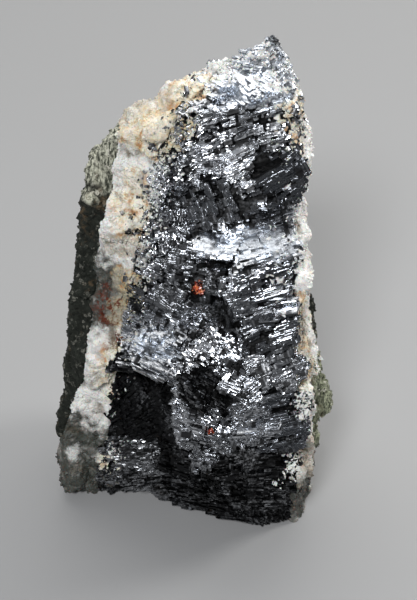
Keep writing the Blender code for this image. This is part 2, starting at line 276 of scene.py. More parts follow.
# %% [markdown]
# ## The room that the mirror faces see
#
# A bare lamp has a hard edge in a mirror. A picture of a studio could stand round the specimen, but plain
# sums do: the room fades from a pale ceiling, above and behind, to dim walls in front. Ledges that are
# turned a little off the lamp then show greys and not black.

# %% The room
CEILING_WAY = (0, 0.6, 0.8)
CEILING = (0.42, 0.435, 0.455, 1)
WALLS = (0.022, 0.024, 0.027, 1)


def make_room():
    room = bpy.data.worlds.new("room")
    room.use_nodes = True
    graph = Graph(room.node_tree)
    way = graph.node("ShaderNodeTexCoord", out="Generated")
    likeness = graph.maths("DOT_PRODUCT", way, CEILING_WAY)
    colour = graph.blend(graph.band(likeness, 0.05, 0.95), WALLS, CEILING)
    graph.put(room.node_tree.nodes["Background"].inputs["Color"], colour)
    bpy.context.scene.world = room
    return room


print("world:", make_room().name)

# %% [markdown]
# ## Crystals of galena
#
# The vein filling is one solid in the frame, but it grew as many crystals, each turned its own way. Ledges
# that all ran one way would look like a stair. So every crystal is given here by a point in it, the way
# that its broken face looks (degrees to the right of the front, and degrees up), the slope of its ledges
# across that face, how coarse its plates are, its unrest in degrees, how deep its ledges are cut, and how
# dark it is painted, from 0 to 1: how far it has tarnished, and on the undercut crystals low down and in
# the recess painted shade as well.
#
# A crystal is itself a mosaic of blocks that differ by its unrest. A point of the surface belongs to the
# nearest block, as in a Voronoi diagram, and a `KDTree` finds that block.

# %% The crystals
# The last value says how dark a crystal is painted: tarnished, and for the undercut crystals and the recess,
# painted shade as well.
CRYSTALS = {  # place, azimuth, elevation, slope, coarseness, unrest, depth, tarnish
    "peak": ((16, 13, 107), -40, 66, 20, 0.8, 7, 0.6, 0.1),
    "top": ((8, 8, 103), -66, 69, 10, 0.7, 7, 0.3, 0.0),
    "top_front": ((14, 1, 104.5), -62, 68, 12, 0.7, 7, 0.3, 0.0),
    "top_left": ((3, 6, 101), -60, 68, 12, 0.7, 7, 0.4, 0.0),
    "upper_right": ((15, -3, 98), -6, 24, 22, 0.75, 5, 1.2, 0.35),
    "crown": ((3, -3, 96), -10, 24, 18, 0.7, 6, 1.2, 0.3),
    "upper_left": ((-4, -3, 93), -25, 42, 35, 0.7, 11, 1.0, 0.05),
    "stair": ((16.5, -3.5, 90), 10, 23, 24, 1.15, 2, 1.6, 0.35),
    "glow": ((4, -4, 89), -12, 61, 25, 0.45, 9, 0.8, 0),
    "slant": ((5, -6.5, 81), -15, 24, -63, 0.9, 3, 1.6, 0.05),
    "cheek_high": ((-6, -3, 87), -30, 60, 55, 0.5, 15, 0.9, 0),
    "cheek": ((-6.5, -5, 78), -25, 29, -76, 0.6, 12, 1.0, 0.05),
    "shelf": ((13, -14, 76), 5, 70, 8, 0.8, 6, 0.35, 0.0),
    "shelf_left": ((6.5, -11, 76), -5, 70, 6, 0.8, 5, 0.5, 0.0),
    "block": ((15, -18.5, 69.5), 4, 25, 16, 1.1, 2, 1.5, 0.35),
    "block_ledge": ((18.3, -17.7, 64.4), 4, 27, 16, 0.9, 2, 1.3, 0.3),
    "block_ledge_left": ((14.4, -18, 63.5), 4, 27, 16, 0.9, 2, 1.3, 0.3),
    "block_low": ((15, -18.3, 60), 4, 27, 16, 0.9, 2, 1.4, 0.2),
    "slots": ((7, -12, 64), -35, 23, -66, 1.0, 3, 1.7, 0.5),
    "hollow": ((-1, -9, 70), -5, 27, -8, 0.6, 3, 1.3, 0.5),
    "hollow_low": ((-6, -8, 61), -15, 27, -22, 0.6, 4, 1.3, 0.55),
    "apron_left": ((-9, -11, 51), -6, 69, -15, 0.8, 5, 0.7, 0.0),
    "apron": ((0, -13, 53), -10, 58, -22, 0.65, 6, 1.0, 0.2),
    "brow": ((14, -22, 54), 8, 25, 22, 0.6, 5, 1.2, 0.35),
    "glint": ((7.5, -24, 51.5), -12, 30, -20, 0.7, 4, 1.1, 0.4),
    "brow_left": ((4, -24, 50), -15, 28, -18, 0.6, 8, 1.2, 0.8),
    "chin": ((13, -26, 42), 6, 24, 6, 0.65, 3, 1.6, 0.0),
    "chin_left": ((2, -21, 36), -16, 25, -5, 0.65, 4, 1.5, 0.4),
    # From here to the eave, the high last values are painted shade for the undercut and the recess, as well
    # as tarnishing.
    "keel": ((14, -22, 22), 5, 8, -3, 0.7, 3, 1.2, 0.9),
    "keel_left": ((1, -15, 14), -25, 10, 8, 0.7, 5, 1.2, 0.85),
    "foot": ((-16, -8, 12), -15, 24, 20, 0.6, 7, 1.0, 0.8),
    "recess": ((-11, 0, 26), -5, 30, 35, 1.0, 5, 1.4, 1.0),
    "eave": ((-9, -8, 42), -10, -20, 10, 0.8, 6, 1.0, 0.9),
    "rear_peak": ((11, 18, 97), 170, 40, 25, 0.9, 6, 0.8, 0.6),
    "rear_high": ((1, 23, 82), 185, 20, -20, 0.75, 7, 1.3, 0.35),
    "rear_right": ((12, 23, 66), 165, 14, 35, 0.8, 8, 1.2, 0.35),
    "rear_left": ((-4, 25, 58), 200, 18, -48, 0.7, 9, 1.2, 0.45),
    "rear_middle": ((7, 26, 42), 180, 26, 12, 0.75, 8, 1.2, 0.45),
    "rear_low": ((10, 25, 14), 172, 8, -15, 0.75, 8, 1.2, 0.55),
    "rear_low_left": ((-6, 25, 22), 195, 14, 55, 0.7, 9, 1.2, 0.5),
}
print("crystals:", len(CRYSTALS))

# %% The blocks of each crystal
BLOCKS_PER_DEGREE = 0.4  # how many more blocks a crystal has for each degree of unrest
MOST_HACKLY = 13  # the unrest at which a face is all tiny hackly facets
BLOCK_SPREAD = 2.6  # millimetres from the crystal's own point
COARSE_SPREAD = (0.8, 1.2)
FACING_FRONT = Matrix(((1, 0, 0), (0, 0, -1), (0, 1, 0)))  # columns: along, up, out
rng = np.random.default_rng(SEED)


def crystal_axes(azimuth, elevation, slope):
    """The crystal's square axes as columns: along its ledges, up across them, and out of its face."""
    turn = Matrix.Rotation(math.radians(azimuth), 3, "Z")
    raise_face = Matrix.Rotation(-math.radians(elevation), 3, "X")
    climb = Matrix.Rotation(math.radians(slope), 3, (0, -1, 0))
    return turn @ raise_face @ climb @ FACING_FRONT


def mosaic_of(place, azimuth, elevation, slope, coarse, unrest, depth, dull):
    """The blocks of one crystal, each with a place, square axes, a coarseness and a tone."""
    made = []
    for number in range(1 + round(unrest * BLOCKS_PER_DEGREE)):
        shift = rng.normal(0, BLOCK_SPREAD if number else 0, 3)
        turned = [angle + rng.normal(0, unrest) for angle in (azimuth, elevation, slope)]
        block = {"place": np.array(place) + shift, "axes": crystal_axes(*turned)}
        block["coarse"] = coarse * rng.uniform(*COARSE_SPREAD)
        block["tone"] = rng.random()
        block["hackle"] = min(1, unrest / MOST_HACKLY)
        block.update(depth=depth, dull=dull)
        made.append(block)
    return made


blocks = [block for facts in CRYSTALS.values() for block in mosaic_of(*facts)]
block_finder = KDTree(len(blocks))
for number, block in enumerate(blocks):
    block_finder.insert(block["place"], number)
block_finder.balance()
print("blocks:", len(blocks))

# %% The block that owns a point
RAGGED = 2.2  # how far a border between blocks wanders, in millimetres
RAGGED_LENGTH = 2.5
noise.seed_set(SEED)  # noise_vector otherwise starts from the clock


def block_at(point):
    """The number of the block that a point, in millimetres, belongs to; the borders are ragged."""
    place = Vector(point)
    return block_finder.find(place + noise.noise_vector(place / RAGGED_LENGTH) * RAGGED)[1]


print("the middle of the shelf belongs to block", block_at(CRYSTALS["shelf"][0]))

# %% [markdown]
# ## Where a ledge may lie
#
# Ledges belong where the galena meets the air, and not where the quartz hides it. The faces could be marked
# by hand, but rays measure it: a `BVHTree` answers where a ray first meets a mesh. The surface of the
# galena is sampled at random over its triangles, and a sample is kept if open air lies in front of it.

# %% Meshes as arrays
def read(items, name, width=3, kind=float):
    """One property of every item, such as the places of a mesh's corners, as the rows of an array."""
    values = np.empty(len(items) * width, kind)
    items.foreach_get(name, values)
    return values.reshape(-1, width)


def mesh_of(thing):
    """An object's corners, in millimetres, and its triangles."""
    thing.data.calc_loop_triangles()
    corners = read(thing.data.vertices, "co") / MM
    return corners, read(thing.data.loop_triangles, "vertices", kind=int)


def solid(node):
    """The corners and triangles of one of the frame's nodes."""
    return mesh_of(frame["nodes"][node])


def tree_of(parts):
    """One ray-casting tree over several (corners, triangles)."""
    corners = np.concatenate([part[0] for part in parts])
    starts = np.cumsum([0] + [len(part[0]) for part in parts[:-1]])
    triangles = np.concatenate([part[1] + start for part, start in zip(parts, starts)])
    return BVHTree.FromPolygons(corners.tolist(), triangles.tolist())


def all_but(node):
    """A ray-casting tree over every node of the frame but one."""
    return tree_of([solid(other) for other in frame["nodes"] if other != node])


galena = solid("galena")
neighbours = all_but("galena")
print("galena:", len(galena[0]), "corners,", len(galena[1]), "triangles")

# %% Samples of the open surface
AIR = 1.2  # millimetres of open space in front of a face that can be seen
SAMPLES_PER_MM2 = 0.8
LOWEST_SAMPLE = 0.3  # millimetres above the floor


def samples_on(corners, triangles, density):
    """Random points on a mesh, with the normal at each."""
    a, b, c = (corners[triangles[:, k]] for k in range(3))
    cross = np.cross(b - a, c - a)
    area = np.linalg.norm(cross, axis=1) / 2
    picked = rng.choice(len(area), int(area.sum() * density), p=area / area.sum())
    far = np.sqrt(rng.random(len(picked)))
    side = rng.random(len(picked))
    weights = np.stack([1 - far, far * (1 - side), far * side], axis=1)
    points = sum(weights[:, [k]] * corner[picked] for k, corner in enumerate((a, b, c)))
    return points, cross[picked] / (2 * area[picked, None])


def in_the_open(point, normal, others):
    return others.ray_cast(Vector(point), Vector(normal), AIR)[0] is None


points, normals = samples_on(*galena, SAMPLES_PER_MM2)
free = [
    point[2] > LOWEST_SAMPLE and in_the_open(point, normal, neighbours)
    for point, normal in zip(points, normals)
]
points, normals = points[free], normals[free]
owners = np.array([block_at(point) for point in points])
print("samples in the open:", len(points), "of", len(free))

# %% [markdown]
# ## Cleavage ledges
#
# A block of galena breaks only along its own three square directions, so a slanting break is a flight of
# flat ledges. A bump or a displacement would round their edges and blur what they mirror, so every ledge is
# made of plates with flat faces. A block is laid in rows across its face. A row is walked in short steps: a
# ray finds the surface at each step, the height is dropped to one of the block's own levels, and steps that
# share a level make one plate. Plates on one level are flush and read as one wide face.
#
# Three rounds go from thick plates to thin leaves, and each round lies on what the one before it made. Slow
# noise decides where leaves stay on, so they come in sheaves.

# %% Three rounds, from thick plates to thin leaves
# "rows" is how thick a row may be, "step" the way from ray to ray, "longest" the longest plate, and "level"
# the height of one step. "lift" is where plates end on average, "relief" how far slow noise swings that,
# "patch" how wide its sheaves are, "waver" how uneven the rows are, and "root" how deep a plate is rooted.
# These are in millimetres. "turn" is a tilt in degrees, and "calm_loss" is what a calm crystal takes off
# the lift. A round that "snaps" keeps to its block's own levels; the others add layers to what they find.
FIRST_ROUND = {
    "rows": (0.8, 1.9), "step": 0.6, "longest": 13, "level": 0.7, "lift": -0.25, "relief": 1.0,
    "patch": 5.0, "waver": 0.4, "root": 1.5, "turn": 0, "calm_loss": 0.0, "snaps": True,
}
SECOND_ROUND = {
    "rows": (0.42, 0.85), "step": 0.5, "longest": 8, "level": 0.34, "lift": 0.4, "relief": 1.1,
    "patch": 3.2, "waver": 0.34, "root": 0.15, "turn": 0.6, "calm_loss": 0.25, "snaps": False,
}
THIRD_ROUND = {
    "rows": (0.2, 0.4), "step": 0.4, "longest": 5, "level": 0.14, "lift": -0.02, "relief": 0.8,
    "patch": 2.0, "waver": 0.16, "root": 0.08, "turn": 2.5, "calm_loss": 0.1, "snaps": False,
}
ROUNDS = (FIRST_ROUND, SECOND_ROUND, THIRD_ROUND)
dice = random.Random(SEED)
print("rounds:", [facts["rows"] for facts in ROUNDS])

# %% Plates as boxes
MARGIN = 1.2  # how far a plate may pass the frame's box
FLOOR_GAP = 0.02
SIGNS = [(a, b, c) for c in (-1, 1) for b in (-1, 1) for a in (-1, 1)]
BOX_FACES = [(0, 2, 3, 1), (4, 5, 7, 6), (0, 1, 5, 4), (2, 6, 7, 3), (0, 4, 6, 2), (1, 3, 7, 5)]
box_low = np.array(cad_box[0]) / MM - MARGIN
box_high = np.array(cad_box[1]) / MM + MARGIN
box_low[2] = FLOOR_GAP


def corners_of(plate):
    """The eight corners of a plate's box."""
    half = [axis * length / 2 for axis, length in zip(plate["axes"], plate["size"])]
    return [plate["middle"] + half[0] * a + half[1] * b + half[2] * c for a, b, c in SIGNS]


def in_bounds(plate):
    spread = np.array(corners_of(plate))
    return (spread > box_low).all() and (spread < box_high).all()


def boxes_as_mesh(plates):
    """The plates as plain boxes, for the rays of the next round."""
    corners = np.array([corners_of(plate) for plate in plates]).reshape(-1, 3)
    quads = (np.arange(len(plates))[:, None, None] * 8 + np.array(BOX_FACES)).reshape(-1, 4)
    return corners, np.concatenate([quads[:, [0, 1, 2]], quads[:, [0, 2, 3]]])


print("plates stay within:", box_low.round(1), box_high.round(1))

# %% A face of a block
FACING = 0.5  # least cosine between a surface and the crystal direction that tiles it


class Face:
    """One side of one block, with the round of plates that is laid on it."""

    def __init__(self, tree, owner, side, facts):
        columns = [blocks[owner]["axes"].col[k].copy() for k in range(3)]
        self.tree = tree
        self.owner = owner
        self.block = blocks[owner]
        self.facts = facts
        self.look = columns[abs(side) - 1] * math.copysign(1, side)
        self.along = columns[0] if abs(side) != 1 else columns[1]
        self.stack = self.look.cross(self.along)

    def reach(self):
        """Where the samples that face this way lie, along the rows and across them."""
        facing = (owners == self.owner) & (normals @ np.array(self.look) > FACING)
        return points[facing] @ np.array(self.along), points[facing] @ np.array(self.stack)


trial = Face(None, block_at(CRYSTALS["shelf"][0]), 3, FIRST_ROUND)
print("the shelf's face has", len(trial.reach()[0]), "samples")

# %% Heights and levels along a row
OUTSIDE = 250  # millimetres from the middle, clear of the specimen
MOST_HITS = 4
NUDGE = 0.01
STRETCH = 0.75  # how far a calm crystal's ledges run on in one piece
MOST_LAYERS = 2


def height_at(face, place):
    """How far along the look the block's surface lies from a place, or None."""
    start = place + face.look * OUTSIDE
    for _ in range(MOST_HITS):
        hit, normal, _, _ = face.tree.ray_cast(start, -face.look)
        if hit is None:
            return None
        facing = normal.dot(face.look) > FACING
        if facing and block_at(hit) == face.owner and in_the_open(hit, normal, neighbours):
            return (hit - place).dot(face.look)
        start = hit - face.look * NUDGE
    return None


def top_at(face, place, height, row_shift):
    """The level that a plate reaches over a place, or None where it has broken away."""
    if height is None:
        return None
    facts = face.facts
    level = facts["level"]
    calm = 1 - face.block["hackle"]
    spot = place + face.look * height
    spot = (spot - face.along * spot.dot(face.along) * calm * STRETCH) / facts["patch"]
    wish = facts["lift"] - facts["calm_loss"] * calm
    wish += (facts["relief"] * noise.noise(spot) + row_shift) * face.block["depth"]
    if facts["snaps"]:
        return round(math.floor((height + wish) / level) * level, 3)
    layers = min(math.floor(wish / level), MOST_LAYERS)
    return round(height + layers * level, 3) if layers > 0 else None


print("levels in millimetres:", [facts["level"] for facts in ROUNDS])

# %% Plates of one row
OVERLAP = 0.02
LONGEST_SHARE = (0.3, 1.0)  # a row's longest plate, as a share of the round's
BLOCK_TONE = 0.5  # how much of a plate's tone comes from its block
SHAPE_ODDS = (6, 2, 2, 2)  # for each of the plate shapes


def random_axis():
    return Vector([dice.gauss(0, 1) for _ in range(3)]).normalized()


def runs_of(tops, longest):
    """Splits a row into (first step, end step) where the top stays the same."""
    runs = []
    start = 0
    for k in range(1, len(tops) + 1):
        if k == len(tops) or tops[k] != tops[start] or k - start >= longest:
            if tops[start] is not None:
                runs.append((start, k))
            start = k
    return runs


def plate_on(face, corner, thick, run, top, lowest):
    """A plate over one run of a row, from its root under the lowest of its heights up to its top."""
    start, end = run
    step = face.facts["step"]
    bottom = min(lowest, top) - face.facts["root"]
    middle = corner + face.along * (step * (start + end) / 2) + face.stack * (thick / 2)
    plate = {key: face.block[key] for key in ("hackle", "dull")}
    plate["middle"] = middle + face.look * (top + bottom) / 2
    plate["size"] = (step * (end - start) + OVERLAP, thick + OVERLAP, top - bottom)
    plate["tone"] = BLOCK_TONE * face.block["tone"] + (1 - BLOCK_TONE) * dice.random()
    plate["shape"] = dice.choices(range(len(SHAPE_ODDS)), SHAPE_ODDS)[0]
    turn = Matrix.Rotation(math.radians(dice.gauss(0, face.facts["turn"])), 3, random_axis())
    plate["axes"] = tuple(turn @ axis for axis in (face.along, face.stack, face.look))
    return plate


def lay_row(face, corner, thick, count):
    """The plates of one row."""
    step = face.facts["step"]
    row_shift = dice.gauss(0, face.facts["waver"])
    places = [corner + face.along * (step * (k + 0.5)) + face.stack * (thick / 2) for k in range(count)]
    heights = [height_at(face, place) for place in places]
    tops = [top_at(face, place, height, row_shift) for place, height in zip(places, heights)]
    longest = face.facts["longest"] / step * dice.uniform(*LONGEST_SHARE)
    return [
        plate_on(face, corner, thick, (start, end), tops[start], min(heights[start:end]))
        for start, end in runs_of(tops, longest)
    ]


print("runs of a short row:", runs_of([1.4, 1.4, None, 0.7, 0.7, 0.7], 2))

# %% Rows across a face
FEWEST_SAMPLES = 5
SPARE = 2  # millimetres by which a row runs past the samples


def lay_face(face):
    """The plates of a whole face, row by row."""
    along, across = face.reach()
    if len(along) < FEWEST_SAMPLES:
        return []
    count = int((np.ptp(along) + SPARE) / face.facts["step"])
    made = []
    at = across.min() - dice.random()
    while at < across.max():
        thick = dice.uniform(*face.facts["rows"]) * face.block["coarse"]
        corner = face.along * (along.min() - dice.random()) + face.stack * at
        made += lay_row(face, corner, thick, count)
        at += thick
    return made


print("rows run", SPARE, "mm past the samples")

# %% [markdown]
# ## Ledges given one by one
#
# Rays and noise place thousands of plates, but a few broad ledges give this specimen its face, and they
# have to lie just where they are. So each is one plate with a place, a direction and a size of its own.
# The slabs are laid first and gather leaves like any other ledge. The bare faces are laid last and stay
# clean: four steps of a white ledge that mirror the softbox, and three small ones that mirror the front
# lamp.

# %% Slabs and bare faces
SLAB_LOOK = (0, -0.31, 0.95)
WHITE_LOOK = (0, -0.33, 0.944)
GLINT_LOOK = (-0.08, -0.731, 0.678)
SLABS = [  # middle, the way that it runs, the way that it looks, and its size
    ((15.5, -17.6, 68.9), (0.96, 0.05, 0.27), SLAB_LOOK, (8.0, 3.6, 1.4)),
    ((5.5, -11.6, 75.6), (0.98, -0.1, -0.12), SLAB_LOOK, (10.0, 5.5, 1.5)),
    ((14.5, -26.6, 41.2), (0.99, 0.05, 0.08), SLAB_LOOK, (10.5, 4.0, 1.2)),
]
BARE = [
    ((19.4, -19.3, 65.3), (0.99, 0.0, 0.12), WHITE_LOOK, (5.2, 2.3, 1.2)),
    ((16.0, -19.7, 63.2), (0.99, 0.0, 0.1), WHITE_LOOK, (4.8, 1.3, 1.0)),
    ((19.8, -19.0, 67.4), (0.99, 0.0, 0.12), WHITE_LOOK, (3.6, 0.9, 0.8)),
    ((17.2, -19.2, 68.3), (0.99, 0.0, 0.12), WHITE_LOOK, (3.8, 0.8, 0.8)),
    ((7.4, -24.9, 52.2), (0.66, 0.49, 0.58), GLINT_LOOK, (1.1, 0.9, 3.6)),
    ((6.8, -24.8, 52.0), (0.95, 0.2, 0.25), GLINT_LOOK, (0.8, 0.35, 3.5)),
    ((7.9, -24.7, 52.7), (0.66, 0.49, 0.58), GLINT_LOOK, (0.6, 0.45, 3.3)),
]
SLAB_FACTS = {"tone": 0.2, "shape": 3, "hackle": 0.25, "dull": 0.0}


def slab_plate(middle, along, look, size):
    along = Vector(along).normalized()
    look = Vector(look)
    look = (look - along * look.dot(along)).normalized()
    return SLAB_FACTS | {"middle": Vector(middle), "axes": (along, look.cross(along), look), "size": size}


plates = [slab_plate(*facts) for facts in SLABS]
print("slabs:", len(SLABS), "bare faces:", len(BARE))

# %% Lay the three rounds
SIDES = (3, 2, -2, 1, -1, -3)  # a block's axes from 1 to 3, and less than 0 for the side behind

for number, facts in enumerate(ROUNDS):
    tree = tree_of([boxes_as_mesh(plates) if number else galena])
    faces = [Face(tree, owner, side, facts) for owner in range(len(blocks)) for side in SIDES]
    laid = [plate for face in faces for plate in lay_face(face) if in_bounds(plate)]
    plates += laid
    print(f"round {number + 1}: {len(laid)} plates")
plates += [slab_plate(*facts) for facts in BARE]

# %% [markdown]
# ## One tree that makes every plate
#
# A plate is one of four small shapes: a block, a block with a corner broken off, one with a notch, and one
# with slanting ends. Tens of thousands of objects would be slow, and particles are no mesh of their own.
# So Geometry Nodes pick a shape for each point, turn it by two directions that the point carries, stretch
# it to size, and make the copies real.

# %% Plate shapes
OUTLINES = {
    "plate_a_block": [(-0.5, -0.5), (0.5, -0.5), (0.5, 0.5), (-0.5, 0.5)],
    "plate_b_chipped": [(-0.5, -0.5), (0.5, -0.5), (0.5, 0.05), (0.22, 0.5), (-0.5, 0.5)],
    "plate_c_notched": [(-0.5, -0.5), (0.5, -0.5), (0.5, 0.5), (0.1, 0.5), (0.1, 0.12), (-0.5, 0.12)],
    "plate_d_slanted": [(-0.5, -0.5), (0.32, -0.5), (0.5, 0.5), (-0.42, 0.5)],
}


def new_collection(name):
    made = bpy.data.collections.new(name)
    bpy.context.scene.collection.children.link(made)
    return made


def mesh_from(bm, name):
    """Turns a bmesh into a mesh and frees it."""
    mesh = bpy.data.meshes.new(name)
    bm.to_mesh(mesh)
    bm.free()
    return mesh


def give(mesh, name, kind, values):
    """Stores one value for each corner of a mesh under a name."""
    layer = mesh.attributes.new(name, kind, "POINT")
    layer.data.foreach_set("vector" if kind == "FLOAT_VECTOR" else "value", values)


def prism(name, outline, home):
    """A flat-topped block of unit height over an outline; its root needs no floor."""
    bm = bmesh.new()
    floor = [bm.verts.new((x, y, -0.5)) for x, y in outline]
    roof = [bm.verts.new((x, y, 0.5)) for x, y in outline]
    bm.faces.new(roof)
    for k in range(len(outline)):
        after = (k + 1) % len(outline)
        bm.faces.new((floor[k], floor[after], roof[after], roof[k]))
    bmesh.ops.triangulate(bm, faces=bm.faces)
    mesh = mesh_from(bm, name)
    give(mesh, "root", "FLOAT", [float(vertex.co.z < 0) for vertex in mesh.vertices])
    return add_object(name, mesh, home)


shapes = new_collection("plate_shapes")
for name, outline in OUTLINES.items():
    prism(name, outline, shapes)

# %% [markdown]
# ## Trees that are built, run and taken off
#
# A Geometry Nodes modifier may stay on an object, but the finished pieces have to be plain meshes. So a
# tree gets its inputs by the identifiers of its sockets, is run once on a source object, and the outcome is
# read from the evaluated object as a mesh of its own.

# %% Build and run a tree
def new_tree(name, inputs):
    """A Geometry Nodes tree with named inputs; returns it and its input wires."""
    tree = bpy.data.node_groups.new(name, "GeometryNodeTree")
    tree.interface.new_socket("Geometry", in_out="OUTPUT", socket_type="NodeSocketGeometry")
    for title, kind in {"Geometry": "NodeSocketGeometry", **inputs}.items():
        tree.interface.new_socket(title, in_out="INPUT", socket_type=kind)
    graph = Graph(tree)
    names = ("Geometry", *inputs)
    return graph, dict(zip(names, graph.node("NodeGroupInput", out=names)))


def end_tree(graph, geometry, material):
    made = graph.node("GeometryNodeSetMaterial", {"Geometry": geometry, "Material": material})
    graph.node("NodeGroupOutput", {"Geometry": made})


def run_tree(graph, source, inputs, name):
    """Runs a tree on an object and returns the outcome as a plain mesh object; the source is removed."""
    modifier = source.modifiers.new("tree", "NODES")
    modifier.node_group = graph.tree
    for item in graph.tree.interface.items_tree:
        if item.in_out == "INPUT" and item.name in inputs:
            modifier[item.identifier] = inputs[item.name]
    bpy.context.view_layer.update()
    evaluated = source.evaluated_get(bpy.context.evaluated_depsgraph_get())
    mesh = bpy.data.meshes.new_from_object(evaluated)
    source.modifiers.clear()
    bpy.data.objects.remove(source, do_unlink=True)
    return add_object(name, mesh)


def carried(graph, name, kind):
    """A value that the points carry under this name."""
    return graph.node("GeometryNodeInputNamedAttribute", {"Name": name}, data_type=kind)


def stored(graph, geometry, name, kind, value):
    """The geometry, with a value kept at each point under this name."""
    values = {"Geometry": geometry, "Name": name, "Value": value}
    return graph.node("GeometryNodeStoreNamedAttribute", values, data_type=kind, domain="POINT")


def copies(graph, collection, placed):
    """Real copies of a collection's members, placed on points as the values say."""
    values = {"Collection": collection, "Separate Children": True, "Reset Children": True}
    members = graph.node("GeometryNodeCollectionInfo", values)
    values = placed | {"Instance": members, "Pick Instance": True}
    instances = graph.node("GeometryNodeInstanceOnPoints", values)
    return graph.node("GeometryNodeRealizeInstances", {"Geometry": instances})


print("trees can be built and run")

# %% [markdown]
# ## The plate tree
#
# One tree places every plate. It also keeps two facts at each corner that the finish needs and could not
# work out for itself: the corner's place along the crystal's own axes, for striations that run with the
# ledges, and how deep it lies under the plate's top, for painted shade that darkens a plate towards its
# root.

# %% The plate tree
def plate_tree():
    inputs = {"Shapes": "NodeSocketCollection", "Finish": "NodeSocketMaterial"}
    graph, wires = new_tree("cleavage_plates", inputs)
    look = carried(graph, "look", "FLOAT_VECTOR")
    along = carried(graph, "along", "FLOAT_VECTOR")
    size = carried(graph, "size", "FLOAT_VECTOR")
    axes = {"Primary Axis": look, "Secondary Axis": along}
    turn = graph.node("FunctionNodeAxesToRotation", axes, primary_axis="Z", secondary_axis="X")
    placed = {"Points": wires["Geometry"], "Rotation": turn, "Scale": size}
    placed["Instance Index"] = carried(graph, "shape", "INT")
    real = copies(graph, wires["Shapes"], placed)
    place = graph.node("GeometryNodeInputPosition")
    up = graph.maths("CROSS_PRODUCT", look, along)
    parts = [graph.maths("DOT_PRODUCT", place, axis) for axis in (along, up, look)]
    crystal = graph.node("ShaderNodeCombineXYZ", dict(enumerate(parts)))
    marked = stored(graph, real, "crystal", "FLOAT_VECTOR", crystal)
    depth = carried(graph, "root", "FLOAT") * graph.axis(size, "Z") / MM
    end_tree(graph, stored(graph, marked, "depth", "FLOAT", depth), wires["Finish"])
    return graph


def points_object(plates):
    """The plates as bare points that carry their directions, size and tone."""
    mesh = bpy.data.meshes.new("plate_points")
    mesh.from_pydata([plate["middle"] * MM for plate in plates], [], [])
    for name, pick in (("along", 0), ("look", 2)):
        give(mesh, name, "FLOAT_VECTOR", np.array([plate["axes"][pick] for plate in plates]).ravel())
    give(mesh, "size", "FLOAT_VECTOR", np.array([plate["size"] for plate in plates]).ravel() * MM)
    for name, kind in (("tone", "FLOAT"), ("hackle", "FLOAT"), ("dull", "FLOAT"), ("shape", "INT")):
        give(mesh, name, kind, [plate[name] for plate in plates])
    return add_object("plate_points", mesh)


cleavage = plate_tree()
print("plate tree has", len(cleavage.tree.nodes), "nodes")

# %% [markdown]
# ## A material to do sums in
#
# An image could be wrapped round a stone, but it would stretch, and it would show one side only. A real
# mineral varies all through, so its colour is worked out from the place in space: noise, cells and zones
# in Object coordinates. `Finish` is a `Graph` round one Principled shader, with those coordinates and a
# ragged noise at hand.

# %% Finish and zones
RAGGED_SHARE = 1.5  # how strongly noise eats into the border of a zone
ZONE_EDGE = (1.3, 1.65)


class Finish(Graph):
    """A material round one Principled shader, with the surface's own coordinates at hand."""

    def __init__(self, name):
        self.material = bpy.data.materials.new(name)
        self.material.use_nodes = True
        super().__init__(self.material.node_tree)
        self.shader = self.tree.nodes["Principled BSDF"]
        self.where = self.node("ShaderNodeTexCoord", out="Object")
        self.ragged = self.noise(self.where, 3.5, detail=4, roughness=0.6)

    def set(self, **values):
        """Sets the shader's inputs: base_color is the socket Base Color, and so on."""
        for name, value in values.items():
            words = name.replace("_", " ").title().replace("Ior", "IOR")
            self.put(self.shader.inputs[words], value)

    def bump(self, height, depth, normal=None):
        """A bump from a height of 0 to 1, depth millimetres deep."""
        values = {"Height": height, "Distance": depth * MM, "Strength": 1.0}
        if normal:
            values["Normal"] = normal
        return self.node("ShaderNodeBump", values)

    def attribute(self, name, out="Fac"):
        """A value that the surface carries under this name."""
        return self.node("ShaderNodeAttribute", out=out, attribute_name=name)

    def zone(self, middle, reach):
        """1 at a place in millimetres, falling to 0 at its reach, with a ragged border."""
        away = self.maths("LENGTH", (self.where - Vector(middle) * MM) / (Vector(reach) * MM))
        return self.band(away + self.ragged * RAGGED_SHARE, *ZONE_EDGE, 1.0, 0.0)

    def zones(self, places):
        """The sum of several zones, each a middle and a reach."""
        return sum((self.zone(middle, reach) for middle, reach in places), 0.0)


def grey(value, tint=(1, 1, 1)):
    """A colour with its opacity, from a lightness and a tint."""
    return [value * part for part in tint] + [1]


print("a finish adds", [name for name in vars(Finish) if not name.startswith("_")])

# %% [markdown]
# ## The finish of galena
#
# Fresh galena is a cold, bright lead grey; air dulls it to a soft charcoal with a faint blue bloom, and
# rust from the vein leaves brown films. The darkening is painted shade as well: the undercut crystals low
# down and the recess are turned almost black, and each plate darkens towards its root. One plain metal
# would make every plate flash alike. So the shader is metallic, its colour and roughness vary slowly over
# the specimen and from plate to plate, fine striations run along the ledges, and a hackly face breaks up
# into tiny facets that each lean their own way. Where galena has weathered it has a pale bloom of lead
# carbonate; on the summit, the shelf and the slope over the recess this pale bluish colour is also painted
# sheen.

# %% Galena finish
FACET_SIZE = 0.55  # millimetres
# Zones of pale bloom that is also painted sheen on these bright faces.
BLOOM_AND_SHEEN = [  # the summit, the bright shelf, and the slope over the recess
    ((13, 6, 104.5), (19, 15, 7)),
    ((12, -13, 76.5), (14, 8, 3)),
    ((-8, -13, 51), (9, 7, 4)),
]


def facet_normal(finish, cells, tilt):
    """A normal tilted at random in each cell, like a patch of tiny cleavage faces."""
    normal = finish.node("ShaderNodeNewGeometry", out="Normal")
    tilts = finish.node("ShaderNodeCombineXYZ", {0: tilt, 1: tilt, 2: tilt})
    return finish.maths("NORMALIZE", normal + (cells - Vector((0.5, 0.5, 0.5))) * tilts)


